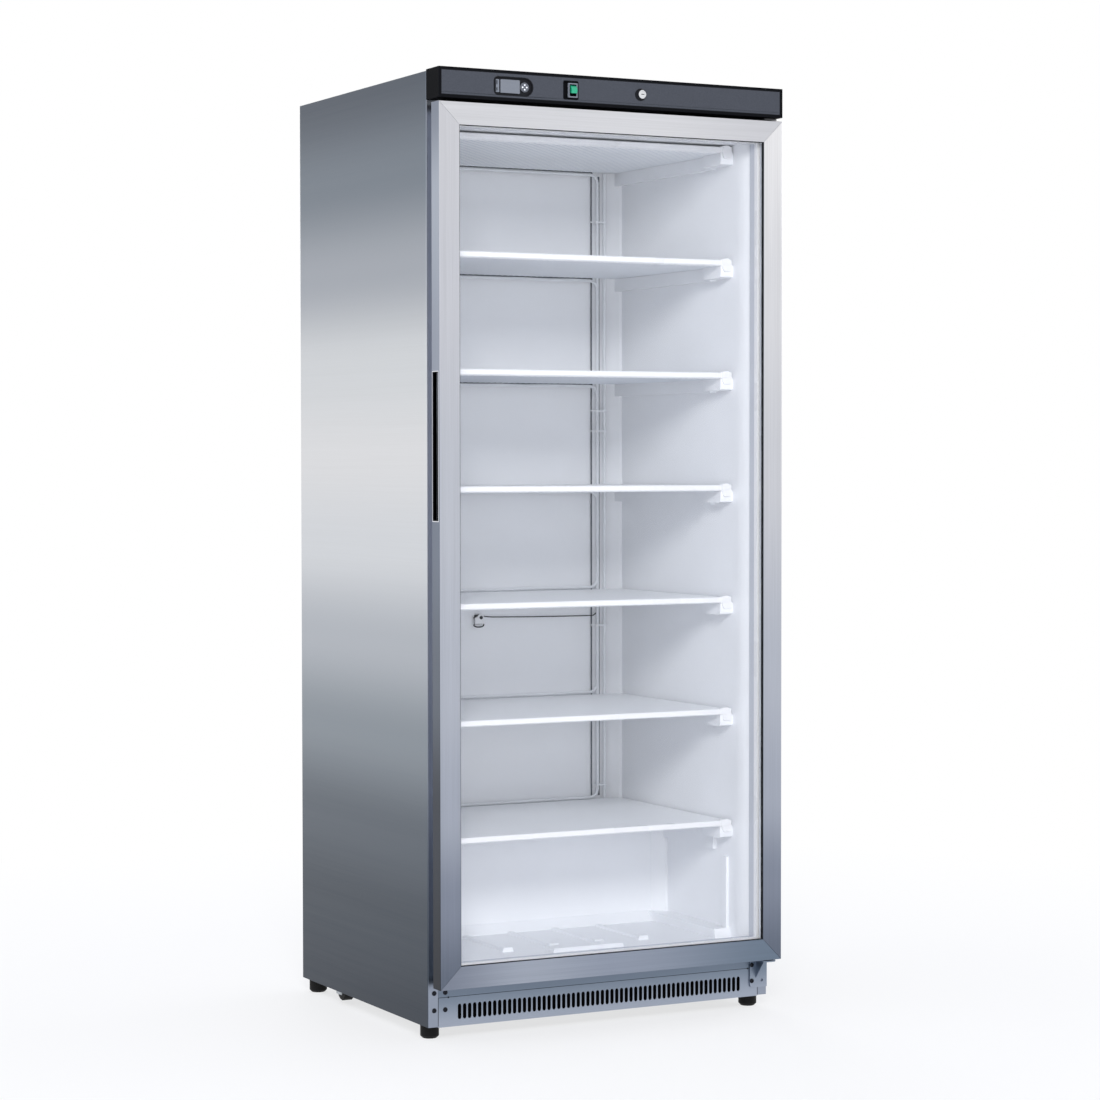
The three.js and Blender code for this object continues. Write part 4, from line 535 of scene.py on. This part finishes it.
def addScrew(mesh, centre, axis, size, turn):  # pan head with a cross recess, centre on the sheet
    axis = Vector(axis)
    radius, dome, arm, half, depth = (screw[key] * size * millimetre
                                      for key in ("radius", "dome", "arm", "armHalf", "depth"))
    side = Matrix.Rotation(turn, 3, axis) @ Vector((0, 0, 1))
    other = axis.cross(side)
    cross = [(half, half), (arm, half), (arm, -half), (half, -half), (half, -arm), (-half, -arm),
             (-half, -half), (-arm, -half), (-arm, half), (-half, half), (-half, arm), (half, arm)]
    circle = [(a / math.hypot(a, b), b / math.hypot(a, b)) for a, b in cross]

    def ring(reach, height, around):
        return [mesh.verts.new(centre + axis * height + reach * (a * side + b * other)) for a, b in around]

    rings = [ring(radius, -screw["sunk"] * millimetre, circle)]
    rings += [ring(radius * reach, dome * height, circle) for reach, height in screw["head"]]
    rings.append(ring(1, dome * screw["mouth"], cross))
    rings.append(ring(screw["taper"], dome * screw["mouth"] - depth, cross))
    for first, second in zip(rings, rings[1:]):
        bridge(mesh, first, second)
    closeEnds(mesh, rings)


def screwPiece(name, places, axis, material, size=1.0):
    mesh = bmesh.new()
    for k, place in enumerate(places):
        addScrew(mesh, place, axis, size, screw["firstTurn"] + screw["turnStep"] * k)
    finished(mesh, name, material, "cabinet")


kickScrews = {"places": [(-375, 60), (-375, 94), (-351, 60), (-351, 94)]}
places = [spot(x, 0, z) for x, z in kickScrews["places"]]
screwPiece("kick_screws", places, front, screwBlack)

hingeScrews = {"places": [(351, 58), (351, 91)], "plateThick": 3}
plateFront = (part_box("hinge_bracket_lower")[1].y - cabinetFront) / millimetre - hingeScrews["plateThick"]
places = [spot(x, plateFront, z) for x, z in hingeScrews["places"]]
screwPiece("hinge_screws", places, front, screwBlack)

seamPlugs = {"places": [(-344.5, 84), (343.0, 84)], "profile": [(1.7, 0), (1.7, 0.6), (1.02, 0.9), (0, 0.9)],
             "sides": 14}
mesh = bmesh.new()
for x, z in seamPlugs["places"]:
    addTurned(mesh, seamPlugs, spot(x, 0, z))
finished(mesh, "kick_seam_plugs", rubberBlack, "cabinet")

kickSeams = {"bars": [((-366.35, 346), (-0.18, 0.3), (83.75, 84.65)),
                      ((-366.9, -365.8), (-0.16, 0.3), (28, 84)),
                      ((365.8, 366.9), (-0.16, 0.3), (28, 43.8))]}
mesh = bmesh.new()  # dark joints round the kick panel
for bar in kickSeams["bars"]:
    addBox(mesh, *bar)
finished(mesh, "kick_seams", sealBlack, "cabinet")

dustFilter = {"halfWidth": 336, "z": (36, 72), "peak": 3.4, "valley": 6.2, "thick": 0.8, "pleats": 80}
mesh = bmesh.new()  # pleated mat behind the slots
folds = dustFilter["pleats"] * 2
rings = []
for k in range(folds + 1):
    x = dustFilter["halfWidth"] * (2 * k / folds - 1)
    y = dustFilter["valley"] if k % 2 else dustFilter["peak"]
    corners = rectangle((y, y + dustFilter["thick"]), dustFilter["z"])
    rings.append([mesh.verts.new(spot(x, a, b)) for a, b in corners])
for first, second in zip(rings, rings[1:]):
    bridge(mesh, first, second)
closeEnds(mesh, rings)
finished(mesh, "grille_filter", filterBlack, "cabinet")
print("lower corner made")

glazing = {"x": (-344.5, 344.5), "z": (153, 1785),
           "section": [(0.05, -57.2), (0.05, -49.7), (0.9, -49.7), (0.9, -57.2)]}
mesh = bmesh.new()  # black seal that lines the step between the door frame and the glass
addFrame(mesh, glazing["x"], glazing["z"], glazing["section"], spot)
finished(mesh, "glazing_seal", sealBlack, "door")

handleRim = {"side": -388.45, "y": (-54.2, -25.8), "z": (1018.6, 1310.4),
             "section": [(0, 0), (0, 0.35), (1.6, 0.35), (1.6, 0)]}
mesh = bmesh.new()  # bright rolled edge round the handle recess
addFrame(mesh, handleRim["y"], handleRim["z"], handleRim["section"],
         lambda y, out, z: spot(handleRim["side"] - out, y, z))
finished(mesh, "handle_rim", spacerBright, "door")

lip = {"x": (-344.2, 344.2), "z": (153.3, 1784.7),
       "section": [(0, -22.2), (-1.2, -0.9), (-2.8, -0.9), (-1.6, -22.2)]}
mesh = bmesh.new()  # soft inner fin of the door gasket
addFrame(mesh, lip["x"], lip["z"], lip["section"], spot)
finished(mesh, "gasket_lip", gasketGrey, "door")
print("glazing seal and gasket lip made")

strip = {"x": (-264.5, -257.5), "y": (-55.9, -54.9), "z": (1852, 1877)}
mesh = bmesh.new()  # plate at the left of the display
addBox(mesh, **strip)
finished(mesh, "thermostat_strip", stripGrey, "cabinet", 0.3)

slots = {"x": (-263.5, -261.6), "y": (-56.2, -55.8), "levels": [(1867, 1875), (1855, 1861)]}
mesh = bmesh.new()
for level in slots["levels"]:
    addBox(mesh, slots["x"], slots["y"], level)
finished(mesh, "thermostat_slots", sealBlack, "cabinet")

disc = {"centre": (-201.5, -53.6, 1864.5), "sides": 36,
        "profile": [(9.5, 0), (9.5, 1.2), (8.835, 1.6), (8.36, 1.0), (4.75, 0.9), (0, 0.9)]}
mesh = bmesh.new()  # dished plate under the four buttons
addTurned(mesh, disc, spot(*disc["centre"]))
finished(mesh, "thermostat_disc", discGrey, "cabinet")

switchRim = {"x": (-105.5, -85.0), "z": (1850.5, 1879.0),
             "section": [(0, -51.4), (0, -56.4), (2.6, -56.4), (2.6, -51.4)]}
mesh = bmesh.new()  # raised frame round the rocker
addFrame(mesh, switchRim["x"], switchRim["z"], switchRim["section"], spot)
finished(mesh, "switch_rim", stripGrey, "cabinet", 0.6)

lockRing = {"centre": (56, -57.1, 1864.5), "profile": [(12.2, 0), (12.2, 0.9), (10.3, 1.2)], "sides": 36}
mesh = bmesh.new()
addTurned(mesh, lockRing, spot(*lockRing["centre"]))
finished(mesh, "lock_ring", sealBlack, "cabinet")

keySlot = {"x": (53.1, 58.9), "y": (-67.05, -66.6), "z": (1863.7, 1865.3)}
mesh = bmesh.new()
addBox(mesh, **keySlot)
finished(mesh, "key_slot", sealBlack, "lock_plug")

fasciaRim = {"x": (-383.6, 383.6), "z": (1840.9, 1890.1), "wide": 1.6, "y": (-57.35, -56.95)}
mesh = bmesh.new()  # dark line round the fascia, mitred at its corners
outer, inner = (rectangle(fasciaRim["x"], fasciaRim["z"], inset) for inset in (0, fasciaRim["wide"]))
for k in range(4):
    addSlab(mesh, (outer[k], outer[(k + 1) % 4], inner[(k + 1) % 4], inner[k]), *fasciaRim["y"])
finished(mesh, "fascia_rim", sealBlack, "cabinet")
print("header made")

beads = {"count": 46, "wide": 3.6, "high": 0.9, "sunk": 0.2, "front": 57, "rearGap": 17.5, "inset": 8}
for number in shelfNumbers:  # pressed beads that run from front to back under each shelf, darker by painted shade
    low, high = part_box(f"evaporator_shelf_{number}")
    mesh = bmesh.new()
    inset, half = beads["inset"] * millimetre, beads["wide"] * millimetre / 2
    depths = (cabinetFront + beads["front"] * millimetre, high.y - beads["rearGap"] * millimetre)
    profile = ((-half, beads["sunk"]), (0, -beads["high"]), (half, beads["sunk"]))
    for k in range(beads["count"]):
        x = low.x + inset + (high.x - low.x - 2 * inset) * (k + 0.5) / beads["count"]
        ends = [[mesh.verts.new((x + a, y, low.z + b * millimetre)) for a, b in profile] for y in depths]
        bridge(mesh, *ends)
        closeEnds(mesh, ends)
    finished(mesh, f"shelf_beads_{number}", beadPaintedShade, "cabinet")

# tubes from the risers along the rear edge of shelves 2 to 6, under the shelf down to number lastUnder
tubes = {"x": 278, "y": 533, "radius": 3.22, "sides": 10, "bend": 20, "bendSteps": 7, "rise": 40,
         "lastUnder": 4, "below": 5.0, "above": 4.0, "pitch": 60, "points": 8, "sway": 0.6, "sag": (-0.8, 0.6)}
mesh = bmesh.new()
for number in range(2, 7):
    low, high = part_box(f"evaporator_shelf_{number}")
    under = number <= tubes["lastUnder"]
    level = low.z / millimetre - tubes["below"] if under else high.z / millimetre + tubes["above"]
    start = level - tubes["rise"] if under else level + tubes["rise"]
    random.seed(number)
    x, y = tubes["x"], tubes["y"]
    far = x - tubes["pitch"] * tubes["points"]
    points = [spot(x, y, start)]
    points += bend(spot(x, y, start), spot(x, y, level), spot(far, y, level), tubes["bend"] * millimetre,
                   tubes["bendSteps"])
    for k in range(1, tubes["points"] + 1):
        points.append(spot(x - tubes["pitch"] * k, y + random.uniform(-tubes["sway"], tubes["sway"]),
                           level + random.uniform(*tubes["sag"])))
    addTube(mesh, points, tubes["radius"] * millimetre, tubes["sides"])
finished(mesh, "shelf_tubes", enamelWhite, "cabinet")

joints = {"x": (-318, 268), "y": (536.3, 537.5), "below": 3.5, "above": 5,
          "upright": [(284.2, 288.6), (266.5, 269.5)], "uprightY": (541.5, 542.5), "uprightZ": (392, 1764)}
mesh = bmesh.new()  # painted shadow: dark strips in the shaded joint between each shelf and the rear wall, and beside the pipes
for number in shelfNumbers:
    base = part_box(f"evaporator_shelf_{number}")[0].z / millimetre
    addBox(mesh, joints["x"], joints["y"], (base - joints["below"], base + joints["above"]))
for x in joints["upright"]:
    addBox(mesh, x, joints["uprightY"], joints["uprightZ"])
finished(mesh, "shadow_joints", paintedShadowGrey, "cabinet")

shelfEnd = {  # outlines in x and z from the top of the trim's end
    "x": 322,
    "cap": [(-15.5, 0.6), (-15.5, -11.5)] + arc((-3, -4.5), (7, 7), -90, 91, 18) + [(-6, 2.2)],
    "capY": (43.2, 56),
    "hook": [(-14, -11.5), (-13, -19), (-10, -24), (-8, -25), (5, -25), (7, -23), (7, -17), (9, -16), (10, -13),
             (8, -10), (0, -10)],
    "hookY": (44.5, 57),
}
mesh = bmesh.new()  # rounded cap and hook at both ends of each shelf front
for number in shelfNumbers:
    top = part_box(f"shelf_trim_{number}")[1].z / millimetre
    for side in (-1, 1):
        for outline, depths in ((shelfEnd["cap"], shelfEnd["capY"]), (shelfEnd["hook"], shelfEnd["hookY"])):
            addSlab(mesh, [(side * (shelfEnd["x"] + x), top + z) for x, z in outline], *depths)
finished(mesh, "shelf_end_caps", trimWhite, "cabinet", 0.7)

probeClip = {"outline": [(-23, 782), (-23, 795)] + arc((-9, 795), (8, 8), 150, -31, -20) + [(-3, 782)],
             "y": (533.8, 537.8)}
mesh = bmesh.new()  # white clip that holds the temperature probe to the rear wall
addSlab(mesh, probeClip["outline"], *probeClip["y"])
finished(mesh, "probe_clip", trimWhite, "cabinet", 0.6)

probeScrew = {"place": (-8.5, 533.7, 796), "size": 0.8}
screwPiece("probe_screw", [spot(*probeScrew["place"])], front, screwBlack, probeScrew["size"])

probeLoop = {"outline": arc((-15, 780), (12, 4.5), 160, 381, 20), "y": 532.2, "radius": 1.4, "sides": 8}
mesh = bmesh.new()  # slack of the probe lead round the clip
points = [spot(x, probeLoop["y"], z) for x, z in probeLoop["outline"]]
addTube(mesh, points, probeLoop["radius"] * millimetre, probeLoop["sides"])
finished(mesh, "probe_loop", rubberBlack, "cabinet")

ties = {"levels": [1662, 1246, 1202, 772], "head": (4.2, 3.4, 4.6), "centre": (272.5, 526.4), "tail": 13,
        "tailThick": 0.5, "tailHalf": 1.2}
mesh = bmesh.new()  # heads and tails of the cable ties
x, y = ties["centre"]
w, d, h = (size / 2 for size in ties["head"])
for k, level in enumerate(ties["levels"]):
    addBox(mesh, (x - w, x + w), (y - d, y + d), (level - h, level + h))
    tailLevel = level + k % 2
    addBox(mesh, (x - w - ties["tail"], x - w), (y - ties["tailThick"], y + ties["tailThick"]),
           (tailLevel - ties["tailHalf"], tailLevel + ties["tailHalf"]))
finished(mesh, "tube_ties", trimWhite, "cabinet", 0.3)
print("shelves and tubes made")

rearScrews = {"sides": (-372, 372), "levels": [340, 700, 1060, 1420, 1780],
              "topRow": [-186, 0, 186], "top": 1868, "size": 0.85}
skinBack = (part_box("rear_panel")[1].y - cabinetFront) / millimetre
places = [spot(x, skinBack, z) for z in rearScrews["levels"] for x in rearScrews["sides"]]
places += [spot(x, skinBack, rearScrews["top"]) for x in rearScrews["topRow"]]
screwPiece("rear_screws", places, (0, 1, 0), chromeBright, rearScrews["size"])

condenserFins = {"pitch": 3.2, "gauge": 0.25, "insetX": 1.5, "insetY": 12, "insetZ": 6}
mesh = bmesh.new()
low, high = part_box("condenser")
pitch, gauge, insetX, insetY, insetZ = (size * millimetre for size in condenserFins.values())
y = low.y + insetY
while y < high.y - insetY:
    addBlock(mesh, (low.x + insetX, y, low.z + insetZ), (high.x - insetX, y + gauge, high.z - insetZ))
    y += pitch
finished(mesh, "condenser_fins", bareAluminium, "cabinet")
print("rear made")

camera = {  # place in millimetres, angles in degrees
    "place": (-2781, -5102, 1140), "turn": 27.56, "tilt": -1.80, "roll": 0.06,
    "lens": 94.69, "sensor": 36, "farClip": 200,
}
eye = bpy.data.objects.new("camera", bpy.data.cameras.new("camera"))
eye.data.sensor_width = camera["sensor"]
eye.data.lens = camera["lens"]
eye.data.clip_end = camera["farClip"]
eye.location = spot(*camera["place"])
turned = Matrix.Rotation(-math.radians(camera["turn"]), 4, "Z")
turned = turned @ Matrix.Rotation(math.radians(90 + camera["tilt"]), 4, "X")
turned = turned @ Matrix.Rotation(-math.radians(camera["roll"]), 4, "Z")
eye.rotation_mode = "XYZ"
eye.rotation_euler = turned.to_euler("XYZ")
bpy.context.scene.collection.objects.link(eye)
bpy.context.scene.camera = eye

lampAim = (0.0, 0.0, 1.0)
lamps = {  # places and sizes in metres
    "key": {"place": (-2.5, -4.9, 3.1), "size": 1.2, "watts": 152, "mirrored": False},
    "low": {"place": (-1.8, -5.2, 0.7), "size": 2.0, "watts": 68, "mirrored": False},
    "left": {"place": (-4.6, 0.8, 2.4), "size": 2.4, "watts": 18, "mirrored": True},
    "right": {"place": (4.6, 0.6, 2.6), "size": 2.4, "watts": 40, "mirrored": True},
    "rear": {"place": (0.8, 4.4, 3.0), "size": 2.6, "watts": 60, "mirrored": True},
}
for name, lamp in lamps.items():
    light = bpy.data.lights.new(name, "AREA")
    light.shape = "SQUARE"
    light.size = lamp["size"]
    light.energy = lamp["watts"]
    holder = bpy.data.objects.new(name, light)
    holder.location = lamp["place"]
    holder.rotation_euler = (Vector(lampAim) - Vector(lamp["place"])).to_track_quat("-Z", "Y").to_euler()
    holder.visible_camera = False
    holder.visible_glossy = lamp["mirrored"]
    bpy.context.scene.collection.objects.link(holder)


def seenDirectly(tree):  # 1 for rays from the camera, from a mirror or through the glass
    path = addNode(tree, "ShaderNodeLightPath")
    seen = maths(tree, "MAXIMUM", path.outputs["Is Camera Ray"], path.outputs["Is Glossy Ray"])
    return maths(tree, "MAXIMUM", seen, path.outputs["Is Transmission Ray"])


def mixed(tree, share, first, second):
    node = addNode(tree, "ShaderNodeMixShader")
    for socket, source in zip(node.inputs, (share, first, second)):
        tree.links.new(source, socket)
    return node.outputs[0]


surroundings = {"light": (0.80, 0.84, 0.95), "strength": 0.78}
world = bpy.data.worlds.new("studio")
bpy.context.scene.world = world
world.use_nodes = True
tree = world.node_tree
tree.nodes.clear()
ambient = addNode(tree, "ShaderNodeBackground")
ambient.inputs["Color"].default_value = (*surroundings["light"], 1)
ambient.inputs["Strength"].default_value = surroundings["strength"]
white = addNode(tree, "ShaderNodeBackground")
white.inputs["Color"].default_value = (1, 1, 1, 1)
white.inputs["Strength"].default_value = 1
both = mixed(tree, seenDirectly(tree), ambient.outputs[0], white.outputs[0])
tree.links.new(both, addNode(tree, "ShaderNodeOutputWorld").inputs["Surface"])

studioFloor = {"reach": 30.0, "squares": 24, "colour": (0.86, 0.86, 0.87), "roughness": 0.8,
               "clearTo": 1.1, "whiteFrom": 2.6, "shadowShare": 0.32}
mesh = bmesh.new()
steps = studioFloor["squares"]
marks = [studioFloor["reach"] * (2 * k / steps - 1) for k in range(steps + 1)]
grid = [[mesh.verts.new((x, y, 0)) for y in marks] for x in marks]
for i in range(steps):
    for k in range(steps):
        mesh.faces.new((grid[i][k], grid[i + 1][k], grid[i + 1][k + 1], grid[i][k + 1]))
data = bpy.data.meshes.new("floor")
mesh.to_mesh(data)
mesh.free()
floor = bpy.data.objects.new("floor", data)
bpy.context.scene.collection.objects.link(floor)
floorWhite, tree, shader = newMaterial("floorWhite")
shader.inputs["Base Color"].default_value = (*studioFloor["colour"], 1)
shader.inputs["Roughness"].default_value = studioFloor["roughness"]
distance = addNode(tree, "ShaderNodeVectorMath", operation="LENGTH")
tree.links.new(restPlace(tree), distance.inputs[0])
away = remap(tree, distance.outputs["Value"], studioFloor["clearTo"], studioFloor["whiteFrom"],
             1 - studioFloor["shadowShare"], 1)  # the floor turns plain white away from the freezer
glow = addNode(tree, "ShaderNodeEmission")
glow.inputs["Color"].default_value = (1, 1, 1, 1)
share = maths(tree, "MULTIPLY", away, seenDirectly(tree))
both = mixed(tree, share, shader.outputs[0], glow.outputs[0])
tree.links.new(both, tree.nodes["Material Output"].inputs["Surface"])
floor.data.materials.append(floorWhite)
floor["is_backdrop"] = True
bpy.context.scene.view_settings.view_transform = "Standard"
print("studio made")

low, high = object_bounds()
